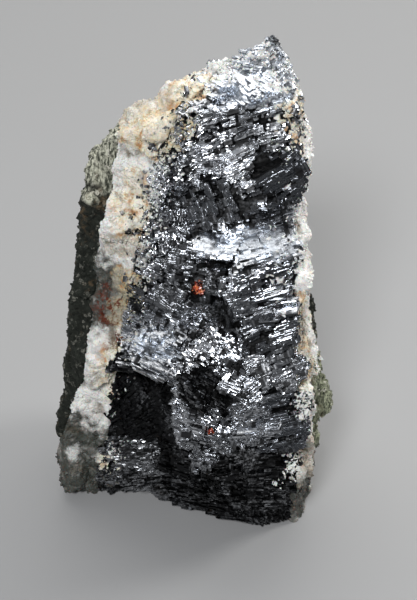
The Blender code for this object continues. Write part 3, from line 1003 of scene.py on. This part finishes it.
def galena_finish(name, has_plates):
    """The finish of the plates, or of the mass behind them, which carries no facts of its own and is painted
    almost black as shade.
    """
    finish = Finish(name)
    slow = finish.noise(finish.where, 9, detail=4)
    patch = finish.noise(finish.where, 3.2, detail=3, roughness=0.6)
    fine = finish.noise(finish.where, 0.8, detail=4, roughness=0.7)
    if has_plates:
        tone, depth, hackle, dull = map(finish.attribute, ("tone", "depth", "hackle", "dull"))
        crystal = finish.attribute("crystal", "Vector")
        lines = finish.noise(crystal * Vector((0.06, 1, 1)), 0.35, detail=2)
    else:
        # The mass behind the plates counts as deep everywhere: painted shade that turns it almost black, so
        # the gaps between plates read dark.
        tone, depth, hackle, dull = fine, 1.0, 1.0, 0.7
        crystal = finish.where
        lines = finish.noise(crystal, 0.5, detail=3)
    # Tarnishing and painted shade: slow noise, the plate's tone and its crystal's last value darken the grey
    # almost to black.
    tarnish_and_shade_share = finish.band(slow * 0.5 + fine * 0.5 + dull * 0.5 + tone * 0.25 - 0.375, 0.36, 0.72)
    colour = finish.blend(tarnish_and_shade_share, grey(0.72, (0.96, 0.985, 1.03)), grey(0.02, (0.97, 1.0, 1.05)))
    rust = finish.band(finish.noise(finish.where, 5, detail=5, roughness=0.7), 0.63, 0.75) * 0.35
    colour = finish.blend(rust, colour, [0.22, 0.15, 0.10, 1])
    # A pale bluish bloom, which on the summit, the shelf and the slope over the recess is also painted
    # sheen.
    bloom_and_sheen = finish.zones(BLOOM_AND_SHEEN) * finish.band(patch * 0.5 + fine * 0.5, 0.36, 0.5, 0.35, 1.0)
    colour = finish.blend(bloom_and_sheen * 0.7, colour, [0.84, 0.89, 0.96, 1])
    # Painted shade: a plate's sides darken towards its root, so the gaps between plates read as crevices.
    root_shade = finish.band(depth, 0.12, 0.8, 0.0, 0.95) * (1 - bloom_and_sheen * 0.5)
    colour = finish.blend(root_shade, colour, grey(0.01))
    hackly = finish.band(patch, 0.36, 0.62, 0.3, 1.0) * hackle
    cells = finish.cells(crystal * Vector((0.5, 1.3, 1)), FACET_SIZE)
    dark_facet = finish.band(finish.axis(cells, "X"), 0.35, 0.65, 0.9, 0.0) * hackly * (1 - bloom_and_sheen)
    colour = finish.blend(dark_facet, colour, grey(0.03))
    finish.set(base_color=colour, metallic=1.0)
    finish.set(roughness=0.13 + tarnish_and_shade_share * 0.15 + lines * 0.1 + root_shade * 0.3 + hackly * 0.06 + bloom_and_sheen * 0.1)
    facets = facet_normal(finish, cells, hackly * 0.7)
    finish.set(normal=finish.bump(lines * 0.5 + fine * 0.5, 0.05, facets))
    return finish.material


bright_galena = galena_finish("galena_plates", True)
body_galena = galena_finish("galena_body", False)
print("galena finishes:", bright_galena.name, body_galena.name)

# %% [markdown]
# ## A dense copy of a node
#
# A frame's node is loose triangles, few and large. Subdividing them would keep their long, thin shapes. So
# a copy is merged, and a Remesh modifier covers it again with small even faces that a tree can push about.
# Each corner also keeps whether open air lies in front of it, because a face that touches its neighbour
# has to stay nearly flat.

# %% Remake a node in small even faces
MERGE = 0.01  # millimetres within which loose triangles share a corner


def remade(node, voxel, name):
    """A copy of a node in small even faces, with an attribute that tells open faces from touching ones."""
    bm = bmesh.new()
    bm.from_mesh(frame["nodes"][node].data)
    bmesh.ops.remove_doubles(bm, verts=bm.verts, dist=MERGE * MM)
    rough = add_object(name, mesh_from(bm, name))
    remesh = rough.modifiers.new("even faces", "REMESH")
    remesh.mode = "VOXEL"
    remesh.voxel_size = voxel * MM
    dense = bpy.data.meshes.new_from_object(rough.evaluated_get(bpy.context.evaluated_depsgraph_get()))
    bpy.data.objects.remove(rough, do_unlink=True)
    others = all_but(node)
    corners = read(dense.vertices, "co") / MM
    facing = read(dense.vertices, "normal")
    open_air = [float(in_the_open(place, normal, others)) for place, normal in zip(corners, facing)]
    give(dense, "open_air", "FLOAT", open_air)
    print(name, "faces:", len(dense.polygons), "open share:", round(sum(open_air) / len(open_air), 2))
    return add_object(name, dense)


print("remesh settings: merge within", MERGE, "mm")

# %% [markdown]
# ## The ledges and the mass behind them
#
# The plates become three pieces, because one mesh of them all would be too heavy: the upper front, the
# lower front and the back. Behind them lies the mass of the vein. It could be left as the frame's solid,
# but its flat faces would stand in front of the plates, so a dense copy, drawn in a little where it meets
# the air, stands for it.

# %% Lay the plates
CORE_DEPTH = 0.9
CORE_VOXEL = 0.8
SPLIT_HEIGHT = 47
REAR_LOOK = 0.2  # a plate that looks further back than this belongs to the rear


def dress(piece, slot, node=None):
    """Attaches a piece: it rides on the one body and may stand for a node, whose part is hidden; slot is not
    used.
    """
    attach(piece, "root")
    if node:
        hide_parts(node)
    piece.data.calc_loop_triangles()
    print(piece.name, "triangles:", len(piece.data.loop_triangles))
    return piece


def make_ledges(name, chosen):
    inputs = {"Shapes": shapes, "Finish": bright_galena}
    return dress(run_tree(cleavage, points_object(chosen), inputs, name), "galena")


def make_core(material):
    """The mass behind the plates: the frame's solid, drawn in a little where it meets the air."""
    core = remade("galena", CORE_VOXEL, "galena_core")
    open_air = read(core.data.attributes["open_air"].data, "value", width=1)
    inward = read(core.data.vertices, "normal") * open_air * CORE_DEPTH * MM
    drawn = read(core.data.vertices, "co") - inward
    drawn[:, 2] = np.maximum(drawn[:, 2], 0)
    core.data.vertices.foreach_set("co", drawn.ravel())
    core.data.materials.clear()
    core.data.materials.append(material)
    return dress(core, "galena", "galena")


front = [plate for plate in plates if plate["axes"][2].y < REAR_LOOK]
rear = [plate for plate in plates if plate["axes"][2].y >= REAR_LOOK]
make_ledges("galena_ledges_high", [plate for plate in front if plate["middle"].z > SPLIT_HEIGHT])
make_ledges("galena_ledges_low", [plate for plate in front if plate["middle"].z <= SPLIT_HEIGHT])
make_ledges("galena_ledges_rear", rear)
# Its finish paints it almost black as shade behind the plates.
make_core(body_galena)

# %% [markdown]
# ## Vein quartz
#
# On each side of the galena runs a band of milky quartz, a mass of interlocking grains as rough as lump
# sugar. It could be a noise bump on the frame's solid, but its outline would stay smooth. So a Geometry
# Nodes tree swells a dense copy into lumps and cuts each grain flat: a Voronoi cell gives every grain a
# height of its own. Loose crumbs are then scattered over the open faces. Where a band touches its
# neighbour it is left nearly flat.

# %% Crumbs
CRUMB_KINDS = 4
CRUMB_POINTS = 9
CRUMB_RADII = (0.42, 0.55)
FLATNESS = 0.8


def new_crumbs(name):
    """A collection of angular grains about one unit across, each the hull of random points."""
    home = new_collection(name)
    for number in range(CRUMB_KINDS):
        bm = bmesh.new()
        for _ in range(CRUMB_POINTS):
            way = random_axis()
            bm.verts.new(Vector((way.x, way.y, way.z * FLATNESS)) * dice.uniform(*CRUMB_RADII))
        bmesh.ops.convex_hull(bm, input=bm.verts)
        bmesh.ops.delete(bm, geom=[v for v in bm.verts if not v.link_faces], context="VERTS")
        add_object(f"{name}_{number}", mesh_from(bm, f"{name}_{number}"), home)
    return home


crumbs = new_crumbs("crumbs")

# %% The rise of each grain
LUMP_MIDDLE = 0.46  # the noise value that stays at the frame's surface
LUMP_SWING = 2  # noise swings by about a half, and this makes it a whole lump height
SEAM_FILL = 0.3  # how far a touching face swells, so that no straight crack is left
SEAM_SHARE = 0.4  # how much of the relief a touching face keeps
CELL_SLOPE = 0.9  # how steeply a grain sinks towards its edge


def stone_rise(graph, wires, place, open_air):
    """How far a corner rises: slow lumps, a height for each Voronoi cell, and a filled seam."""
    values = {"Vector": place, "Scale": 1 / wires["Lump Size"], "Detail": 4.0, "Roughness": 0.55}
    lumps = graph.node("ShaderNodeTexNoise", values) - LUMP_MIDDLE
    values = {"Vector": place, "Scale": 1 / wires["Grain Size"]}
    distance, colour = graph.node("ShaderNodeTexVoronoi", values, out=("Distance", "Color"))
    grain = graph.axis(colour, "X") - distance * CELL_SLOPE
    rise = lumps * wires["Lump Height"] * LUMP_SWING + grain * wires["Grain Height"]
    return rise * (open_air * (1 - SEAM_SHARE) + SEAM_SHARE) + (1 - open_air) * SEAM_FILL * MM


print("touching faces keep", SEAM_SHARE, "of their relief")

# %% The sugary stone tree
STONE_INPUTS = {
    "Lump Height": "NodeSocketFloat",
    "Lump Size": "NodeSocketFloat",
    "Grain Height": "NodeSocketFloat",
    "Grain Size": "NodeSocketFloat",
    "Crumbs": "NodeSocketCollection",
    "Crumb Size": "NodeSocketFloat",
    "Crumbs Per Square Metre": "NodeSocketFloat",
    "Seed": "NodeSocketInt",
    "Finish": "NodeSocketMaterial",
}
CRUMB_SIZES = (0.35, 1.0)  # as a share of the largest
TUMBLE = {"X": 1, "Y": 1.7, "Z": 2.3}  # turns about each axis that keep out of step


def random_between(graph, wires, low, high):
    values = {"Min": low, "Max": high, "Seed": wires["Seed"]}
    return graph.node("FunctionNodeRandomValue", values, data_type="FLOAT")


def tumble(graph, angle):
    """A rotation about all three axes from one random angle."""
    values = {axis: angle * share for axis, share in TUMBLE.items()}
    return graph.node("FunctionNodeEulerToRotation", {0: graph.node("ShaderNodeCombineXYZ", values)})


def crumbs_on(graph, wires, stone, open_air):
    """Crumbs scattered over the open faces, each turned and sized at random."""
    values = {"Mesh": stone, "Density": wires["Crumbs Per Square Metre"] * open_air, "Seed": wires["Seed"]}
    spots, turn = graph.node("GeometryNodeDistributePointsOnFaces", values, out=("Points", "Rotation"))
    spin = tumble(graph, random_between(graph, wires, 0.0, math.tau))
    turn = graph.node("FunctionNodeRotateRotation", {0: turn, 1: spin})
    size = random_between(graph, wires, *CRUMB_SIZES) * wires["Crumb Size"]
    return copies(graph, wires["Crumbs"], {"Points": spots, "Rotation": turn, "Scale": size})


def stand_on_floor(graph, geometry):
    """Lifts whatever hangs below the floor up to it."""
    x, y, z = graph.axis(graph.node("GeometryNodeInputPosition"), ("X", "Y", "Z"))
    lifted = graph.node("ShaderNodeCombineXYZ", {0: x, 1: y, 2: graph.maths("MAXIMUM", z, 0.0)})
    return graph.node("GeometryNodeSetPosition", {"Geometry": geometry, "Position": lifted})


def stone_tree():
    graph, wires = new_tree("sugary_stone", STONE_INPUTS)
    open_air = carried(graph, "open_air", "FLOAT")
    rise = stone_rise(graph, wires, graph.node("GeometryNodeInputPosition"), open_air)
    offset = graph.maths("SCALE", graph.node("GeometryNodeInputNormal"), rise)
    stone = graph.node("GeometryNodeSetPosition", {"Geometry": wires["Geometry"], "Offset": offset})
    stone = stored(graph, stone, "rise", "FLOAT", rise / wires["Lump Height"])
    join = graph.tree.nodes.new("GeometryNodeJoinGeometry")
    for part in (stone, crumbs_on(graph, wires, stone, open_air)):
        graph.put(join.inputs[0], part)
    end_tree(graph, stand_on_floor(graph, Wire(graph, join.outputs[0])), wires["Finish"])
    return graph


stone_graph = stone_tree()
print("stone tree has", len(stone_graph.tree.nodes), "nodes")

# %% [markdown]
# ## The finish of the quartz
#
# Massive quartz is milky where it is full of tiny bubbles, glassy grey where it is clear, and stained
# yellow to orange where the rusting ore has weathered into it. The stains gather along the galena and on
# the upper crust. Painting them by hand would need a map of the surface. So one finish mixes milk, glass
# and stain: noise picks between them, inside zones that are given by a middle and a reach. The dark glass
# grey is partly painted shade, in the middle of the left band and at the feet of both, and the low spots
# between lumps are darkened as painted shade.

# %% Quartz finish
def quartz_finish(name, glassy_and_shaded=(), stained=(), pale=(), spotted=(), tan=()):
    """Quartz whose kinds lie in zones, each given by a middle and a reach in millimetres."""
    finish = Finish(name)
    slow = finish.noise(finish.where, 7, detail=4)
    patch = finish.noise(finish.where, 2.6, detail=5, roughness=0.65)
    fine = finish.noise(finish.where, 0.5, detail=3, roughness=0.7)
    grain = finish.axis(finish.cells(finish.where, 1.1), "X")
    clear = finish.band(slow * 0.6 + patch * 0.4, 0.5, 0.62) * 0.3
    clear = clear + finish.zones(glassy_and_shaded) * finish.band(patch, 0.3, 0.55, 0.8, 1.0) - finish.zones(pale) * 0.6
    milk = finish.blend(patch * 0.5 + fine * 0.5, [0.68, 0.65, 0.59, 1], [1.0, 0.995, 0.985, 1])
    # Dark glass grey: clear quartz, and at the feet of the bands painted shade as well.
    glass_and_shade = finish.blend(grain * 0.5 + fine * 0.5, [0.012, 0.014, 0.011, 1], [0.10, 0.104, 0.088, 1])
    colour = finish.blend(clear, milk, glass_and_shade)
    brown = finish.blend(fine, [0.24, 0.19, 0.13, 1], [0.66, 0.60, 0.50, 1])
    colour = finish.blend(finish.zones(tan) * finish.band(patch, 0.38, 0.56, 0.3, 0.9), colour, brown)
    stains = finish.zones(stained)
    colour = finish.blend(stains * 0.3, colour, [0.90, 0.80, 0.56, 1])
    rust = finish.blend(finish.band(patch, 0.48, 0.64), [0.86, 0.68, 0.36, 1], [0.46, 0.22, 0.08, 1])
    stain = stains * finish.band(patch * 0.7 + fine * 0.3, 0.46, 0.62) * 0.9
    colour = finish.blend(stain, colour, rust)
    spots = finish.zones(spotted) * finish.band(fine * 0.4 + patch * 0.6, 0.48, 0.56)
    colour = finish.blend(spots, colour, [0.11, 0.022, 0.008, 1])
    # Painted shade: the low spots between lumps are darkened, with darker noise patches besides.
    hollow = finish.band(finish.attribute("rise"), -0.42, 0.0, 0.85, 0.0)
    hollow = hollow + finish.band(fine * 0.6 + patch * 0.4, 0.36, 0.46, 0.5, 0.0)
    colour = finish.blend(hollow, colour, [0.15, 0.12, 0.08, 1])
    finish.set(base_color=colour, roughness=0.28 + fine * 0.4)
    finish.set(subsurface_weight=0.15, subsurface_scale=1.2 * MM, ior=1.54, specular_ior_level=0.35)
    finish.set(normal=finish.bump(fine * 0.6 + grain * 0.4, 0.16))
    return finish.material


left_quartz_finish = quartz_finish(
    "quartz_left",
    # The dark glassy zones in the middle of the front and at the foot are partly painted shade.
    glassy_and_shaded=[((-19, -6, 57), (14, 14, 12)), ((-27, -6, 8), (16, 18, 20)), ((-8, 22, 40), (16, 12, 34))],
    stained=[
        ((-7, -2, 95), (13, 12, 8)),
        ((-12, -4, 82), (6, 7, 13)),
        ((-14, -8, 56), (5, 8, 16)),
        ((-17, -9, 36), (6, 9, 16)),
        ((0, 8, 99), (9, 9, 5)),
        ((-12, 24, 66), (9, 8, 16)),
        ((-14, 24, 12), (12, 8, 9)),
        ((-18, -9, 13), (5, 5, 4)),
    ],
    pale=[
        ((-18, -6, 76), (9, 9, 11)),
        ((-23, -6, 36), (8, 9, 12)),
        ((-27, -7, 14), (3, 4, 3)),
        ((-22, -5, 56), (3, 5, 3)),
        ((-19, -9, 13), (5, 5, 4)),
        ((-18, -9, 13), (4, 5, 4)),
    ],
    spotted=[((-18, -7, 55), (6, 8, 9)), ((-16, -8, 47), (4, 6, 5))],
    tan=[((-8, 3, 97), (16, 14, 9)), ((-14, -3, 70), (7, 8, 5))],
)
right_quartz_finish = quartz_finish(
    "quartz_right",
    # The dark glassy zone at the front foot is partly painted shade.
    glassy_and_shaded=[((24, -14, 10), (9, 16, 17)), ((24, 12, 30), (10, 14, 26))],
    stained=[
        ((22, -4, 97), (7, 10, 13)),
        ((23, -12, 62), (6, 8, 10)),
        ((23, -14, 44), (6, 9, 8)),
        ((28, 14, 78), (6, 9, 9)),
        ((28, 2, 52), (6, 12, 6)),
    ],
    pale=[((21, -7, 76), (6, 8, 7)), ((25, -14, 30), (8, 10, 16))],
    tan=[((24, -12, 48), (6, 9, 10)), ((24, -14, 22), (6, 9, 9))],
)
print("quartz finishes:", left_quartz_finish.name, right_quartz_finish.name)

# %% [markdown]
# ## The quartz bands
#
# Each band is one run of the stone tree on a dense copy of its solid. The sizes are what an eye sees on
# vein quartz: lumps of a few millimetres, grains of one or two, and a crumb here and there. The same
# function serves the wall rock, so a piece is only a row of sizes and a finish.

# %% The quartz bands
QUARTZ_SIZES = {  # millimetres
    "Lump Height": 2.9,
    "Lump Size": 6.5,
    "Grain Height": 0.4,
    "Grain Size": 1.7,
    "Crumb Size": 1.3,
}
QUARTZ_CRUMBS = 0.5  # to the square millimetre
QUARTZ_VOXEL = 0.45


def make_stone(node, name, slot, voxel, sizes, density, finish):
    """A sugary piece that stands for a node."""
    inputs = {title: size * MM for title, size in sizes.items()}
    inputs.update({"Crumbs": crumbs, "Crumbs Per Square Metre": density / MM**2})
    inputs.update({"Seed": SEED, "Finish": finish})
    return dress(run_tree(stone_graph, remade(node, voxel, f"{name}_source"), inputs, name), slot, node)


QUARTZ = ("vein_quartz", QUARTZ_VOXEL, QUARTZ_SIZES, QUARTZ_CRUMBS)
left_band = make_stone("quartz_left", "quartz_band_left", *QUARTZ, left_quartz_finish)
right_band = make_stone("quartz_right", "quartz_band_right", *QUARTZ, right_quartz_finish)

# %% [markdown]
# ## Wall rock
#
# The vein ran through a dark, greenish, fine-grained rock, and skins of it still cling to the quartz. It is
# duller and more even than the quartz, with pits, paler flecks of feldspar and a rusty film near the vein.
# Outside its pale crust and green chip its colour is kept near black, partly as painted shade, and its low
# spots are darkened as painted shade. It could be carved lump by lump, but the stone tree already makes
# lumps and grains, so it makes this rock too, with smaller grains and a finish of its own.

# %% Wall rock finish
def wall_rock_finish():
    finish = Finish("wall_rock")
    slow = finish.noise(finish.where, 8, detail=4)
    patch = finish.noise(finish.where, 1.8, detail=5, roughness=0.7)
    fine = finish.noise(finish.where, 0.4, detail=3, roughness=0.75)
    grain = finish.axis(finish.cells(finish.where, 0.8), "X")
    # Near black: a dark rock, and partly painted shade.
    colour = finish.blend(patch * 0.6 + grain * 0.4, [0.003, 0.004, 0.003, 1], [0.034, 0.038, 0.03, 1])
    fibres = finish.noise(finish.where * Vector((1.4, 1.0, 0.35)), 0.9, detail=4, roughness=0.7)
    chip = finish.zone((28, -6, 34), (10, 22, 18))
    crust = finish.zone((-20, -2, 91), (17, 28, 18))
    pale = finish.blend(finish.band(fibres, 0.4, 0.6), [0.05, 0.055, 0.04, 1], [0.56, 0.56, 0.45, 1])
    green = finish.blend(finish.band(fibres, 0.36, 0.6), [0.03, 0.035, 0.022, 1], [0.30, 0.32, 0.22, 1])
    colour = finish.blend(crust, colour, pale)
    colour = finish.blend(chip, colour, green)
    flecks = finish.band(grain * 0.5 + fine * 0.5, 0.68, 0.78) * (chip + crust + 0.25)
    colour = finish.blend(flecks, colour, [0.60, 0.58, 0.50, 1])
    film = finish.band(slow * 0.5 + patch * 0.5, 0.56, 0.68) * 0.5
    colour = finish.blend(film, colour, [0.16, 0.10, 0.05, 1])
    # Painted shade: the low spots between lumps are darkened almost to black.
    hollow = finish.band(finish.attribute("rise"), -0.5, 0.0, 0.85, 0.0)
    colour = finish.blend(hollow, colour, [0.01, 0.01, 0.008, 1])
    finish.set(base_color=colour, roughness=0.62 + fine * 0.3, specular_ior_level=0.2)
    finish.set(normal=finish.bump(fine * 0.4 + fibres * 0.6, 0.35))
    return finish.material


rock_finish = wall_rock_finish()
print("rock finish:", rock_finish.name)

# %% The skins of wall rock
ROCK_SIZES = {  # millimetres
    "Lump Height": 1.9,
    "Lump Size": 4.5,
    "Grain Height": 0.5,
    "Grain Size": 1.3,
    "Crumb Size": 1.1,
}
ROCK_CRUMBS = 0.4  # to the square millimetre
ROCK = (ROCK_SIZES, ROCK_CRUMBS, rock_finish)
make_stone("wallrock_left", "wall_rock_left", "wall_rock", 0.45, *ROCK)
rock_chip = make_stone("wallrock_right", "wall_rock_right", "wall_rock", 0.4, *ROCK)

# %% [markdown]
# ## Sphalerite
#
# Two small spots of red sphalerite sit in the galena. Each is a cluster of resinous grains that light sinks
# into, so it glows orange where it is thin. One smooth red bead would look like a berry. So the frame's
# grain is hidden, and angular crumbs strewn over the ledges round it stand for each.

# %% Sphalerite finish
def sphalerite_finish():
    finish = Finish("sphalerite")
    grain = finish.axis(finish.cells(finish.where, 0.45), "X")
    dark = finish.blend(finish.band(grain, 0.1, 0.6), [0.10, 0.006, 0.003, 1], [0.50, 0.045, 0.012, 1])
    # Bright orange grains: the mineral's own lighter colour, and a painted glow of light through it.
    colour = finish.blend(finish.band(grain, 0.6, 0.9), dark, [0.95, 0.24, 0.07, 1])
    finish.set(base_color=colour, roughness=0.2 + grain * 0.2)
    finish.set(ior=2.37, subsurface_weight=0.25, subsurface_scale=0.6 * MM)
    finish.set(normal=finish.bump(finish.noise(finish.where, 0.3), 0.05))
    return finish.material


red_finish = sphalerite_finish()
print("sphalerite finish:", red_finish.name)

# %% Sphalerite grains
SKYWARD = Vector((0, -0.78, 0.62))  # out of the front face and up
GRAIN_SIZES = (0.3, 1.0)  # as a share of the largest
CROWDING = 0.7  # under 1, grains spread towards the rim; at 0.5 they are even
MIDDLE_SIZE = 1.2  # grains are larger by this at the middle of a cluster
RIM_LOSS = 0.6  # and smaller by this much of their size at its rim
STRAY = 2  # a grain that lands this many reaches away is left out
PROUD = 0.15  # millimetres that a grain's middle stands over the ledge


def grain_cluster(node, reach, count, biggest, ground, finish):
    """Angular grains strewn over the ground round a node, as one piece that stands for it."""
    low, high = (Vector(corner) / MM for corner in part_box(node))
    middle = (low + high) / 2
    bm = bmesh.new()
    for _ in range(count):
        angle = dice.uniform(0, math.tau)
        radius = dice.random() ** CROWDING
        away = Vector((math.cos(angle) * reach[0], 0, math.sin(angle) * reach[1])) * radius
        hit = ground.ray_cast(middle + away + SKYWARD * OUTSIDE, -SKYWARD)[0]
        if hit is None or (hit - middle).length > STRAY * max(reach):
            continue
        size = biggest * dice.uniform(*GRAIN_SIZES) * (MIDDLE_SIZE - RIM_LOSS * radius)
        start = len(bm.verts)
        bm.from_mesh(dice.choice(list(crumbs.objects)).data)
        bm.verts.ensure_lookup_table()
        turn = Matrix.Rotation(dice.uniform(0, math.tau), 3, random_axis())
        for vertex in bm.verts[start:]:
            vertex.co = (turn @ vertex.co * size + hit + SKYWARD * PROUD) * MM
    piece = add_object(node + "_cluster", mesh_from(bm, node + "_cluster"))
    piece.data.materials.append(finish)
    return dress(piece, "sphalerite", node)


plate_surface = tree_of([galena, boxes_as_mesh(plates)])
grain_cluster("sphalerite_upper", (1.35, 2.0), 110, 1.1, plate_surface, red_finish)
grain_cluster("sphalerite_lower", (0.7, 1.0), 26, 0.9, plate_surface, red_finish)

# %% [markdown]
# ## Grains strewn along the contacts
#
# The boundary of quartz and galena is not a clean line. Grains of quartz sit in the galena and cubes of
# galena in the quartz, thickest at the contact and gone a few millimetres away. A colour would not do for
# them, because they stand proud and catch the light. So random points on one mineral are kept with a chance
# that falls with their distance from the other, and the plate tree puts a grain on each.

# %% Where grains are strewn
# Each row has a host that carries the grains, a guest whose contact they follow for "reach" millimetres, a
# density in samples to the square millimetre, the smallest and largest grain, and shares by height.
STREWN = {
    "quartz_on_galena_left": {
        "host": "galena", "guest": "quartz_left", "mineral": "quartz", "reach": 6.5, "density": 5.0,
        "sizes": (0.5, 1.9),
        "heights": [(6, 0.1), (9, 1), (15, 1), (19, 0.05), (50, 0.2), (62, 0.8), (75, 1)],
    },
    "galena_on_quartz": {
        "host": "quartz_left", "guest": "galena", "mineral": "galena", "reach": 3.8, "density": 1.5,
        "sizes": (0.3, 1.5), "heights": [(52, 0), (64, 0.6), (75, 1)],
    },
    "galena_on_rim": {
        "host": "quartz_right", "guest": "galena", "mineral": "galena", "reach": 5.0, "density": 5.0,
        "sizes": (0.4, 1.7), "heights": [(88, 0), (96, 0.8), (104, 1)],
    },
    "quartz_on_galena_right": {
        "host": "galena", "guest": "quartz_right", "mineral": "quartz", "reach": 7.5, "density": 9.0,
        "sizes": (0.8, 2.8), "heights": [(18, 0), (26, 1), (54, 1), (60, 0.1), (85, 0.1)],
    },
    "quartz_on_chip": {
        "host": "wallrock_right", "guest": "quartz_right", "mineral": "quartz", "reach": 9.0, "density": 9.0,
        "sizes": (0.8, 2.8), "heights": [(38, 0), (43, 1)],
    },
}
print("contacts:", list(STREWN))

# %% Grains along one contact
HOVER = 4.0  # millimetres above a surface from which it is looked for
CLUSTER_LENGTH = 2.2  # millimetres between clusters of grains
CLUSTERING = 2
FADE = 1.5  # how sharply grains thin out away from the contact
MOSTLY_SMALL = 2  # over 1, small grains outnumber large ones
FAR_LOSS = 0.5  # how much smaller a grain is at the end of its reach
SUNK = 0.25  # how deep a grain sits, as a share of its size
FLATTEST = 0.6
GRAIN_FACTS = {"hackle": 0.5, "dull": 0.4}


def grain_at(spot, outward, size, shape_count):
    """A plate's facts for one grain, turned at random and sunk a little into its host."""
    look = random_axis()
    side = look.orthogonal().normalized()
    grain = GRAIN_FACTS | {"middle": spot - outward * size * SUNK, "axes": (side, look.cross(side), look)}
    grain["shape"] = dice.randrange(shape_count)
    grain["size"] = (size, size * dice.uniform(FLATTEST, 1), size * dice.uniform(FLATTEST, 1))
    grain["tone"] = dice.random()
    return grain


def grains_on(facts, surface, shape_count):
    """Grains over one node along its contact with another."""
    smallest, largest = facts["sizes"]
    guest = tree_of([solid(facts["guest"])])
    others = all_but(facts["host"])
    made = []
    for point, normal in zip(*samples_on(*solid(facts["host"]), facts["density"])):
        away = guest.find_nearest(Vector(point))[3] / facts["reach"]
        if away > 1:
            continue
        cluster = 1 + CLUSTERING * noise.noise(Vector(point) / CLUSTER_LENGTH)
        likely = (1 - away) ** FADE * cluster * np.interp(point[2], *zip(*facts["heights"]))
        if dice.random() > likely or not in_the_open(point, normal, others):
            continue
        outward = Vector(normal)
        hit = surface.ray_cast(Vector(point) + outward * HOVER, -outward)[0]
        if hit is None:
            continue
        swell = dice.random() ** MOSTLY_SMALL * (1 - FAR_LOSS * away)
        size = smallest + (largest - smallest) * swell
        made.append(grain_at(hit, outward, size, shape_count))
    return [grain for grain in made if in_bounds(grain)]


print("a grain is sunk by", SUNK, "of its size")

# %% Strew the grains
surfaces = {"galena": plate_surface}
for piece, node in ((left_band, "quartz_left"), (right_band, "quartz_right"), (rock_chip, "wallrock_right")):
    surfaces[node] = tree_of([mesh_of(piece)])
kinds = {"quartz": (crumbs, "vein_quartz"), "galena": (shapes, "galena")}
finishes = {"quartz_left": left_quartz_finish, "quartz_right": right_quartz_finish, "galena": bright_galena}
for name, facts in STREWN.items():
    home, slot = kinds[facts["mineral"]]
    grains = grains_on(facts, surfaces[facts["host"]], len(home.objects))
    inputs = {"Shapes": home, "Finish": finishes[facts["guest"]]}
    print(name, "grains:", len(grains))
    dress(run_tree(cleavage, points_object(grains), inputs, name), slot)
for shape in [*crumbs.objects, *shapes.objects]:
    bpy.data.objects.remove(shape, do_unlink=True)

# %% [markdown] ## The floor  The specimen stands on its broken end on a plain pale floor. A coloured
# cloth or a polished board would show in every mirror face, so the floor is one wide, matt square.

# %% Floor
FLOOR_HALF = 3  # metres, past the edge of every view


def make_floor():
    bm = bmesh.new()
    bmesh.ops.create_grid(bm, x_segments=1, y_segments=1, size=FLOOR_HALF)
    floor = add_object("floor", mesh_from(bm, "floor"))
    finish = Finish("floor")
    finish.set(base_color=grey(0.33), roughness=0.8)
    floor.data.materials.append(finish.material)
    return floor


print("floor:", make_floor().name)

# %% [markdown]
# ## The finished specimen
#
# The ledges and lumps stand a little proud of the frame.
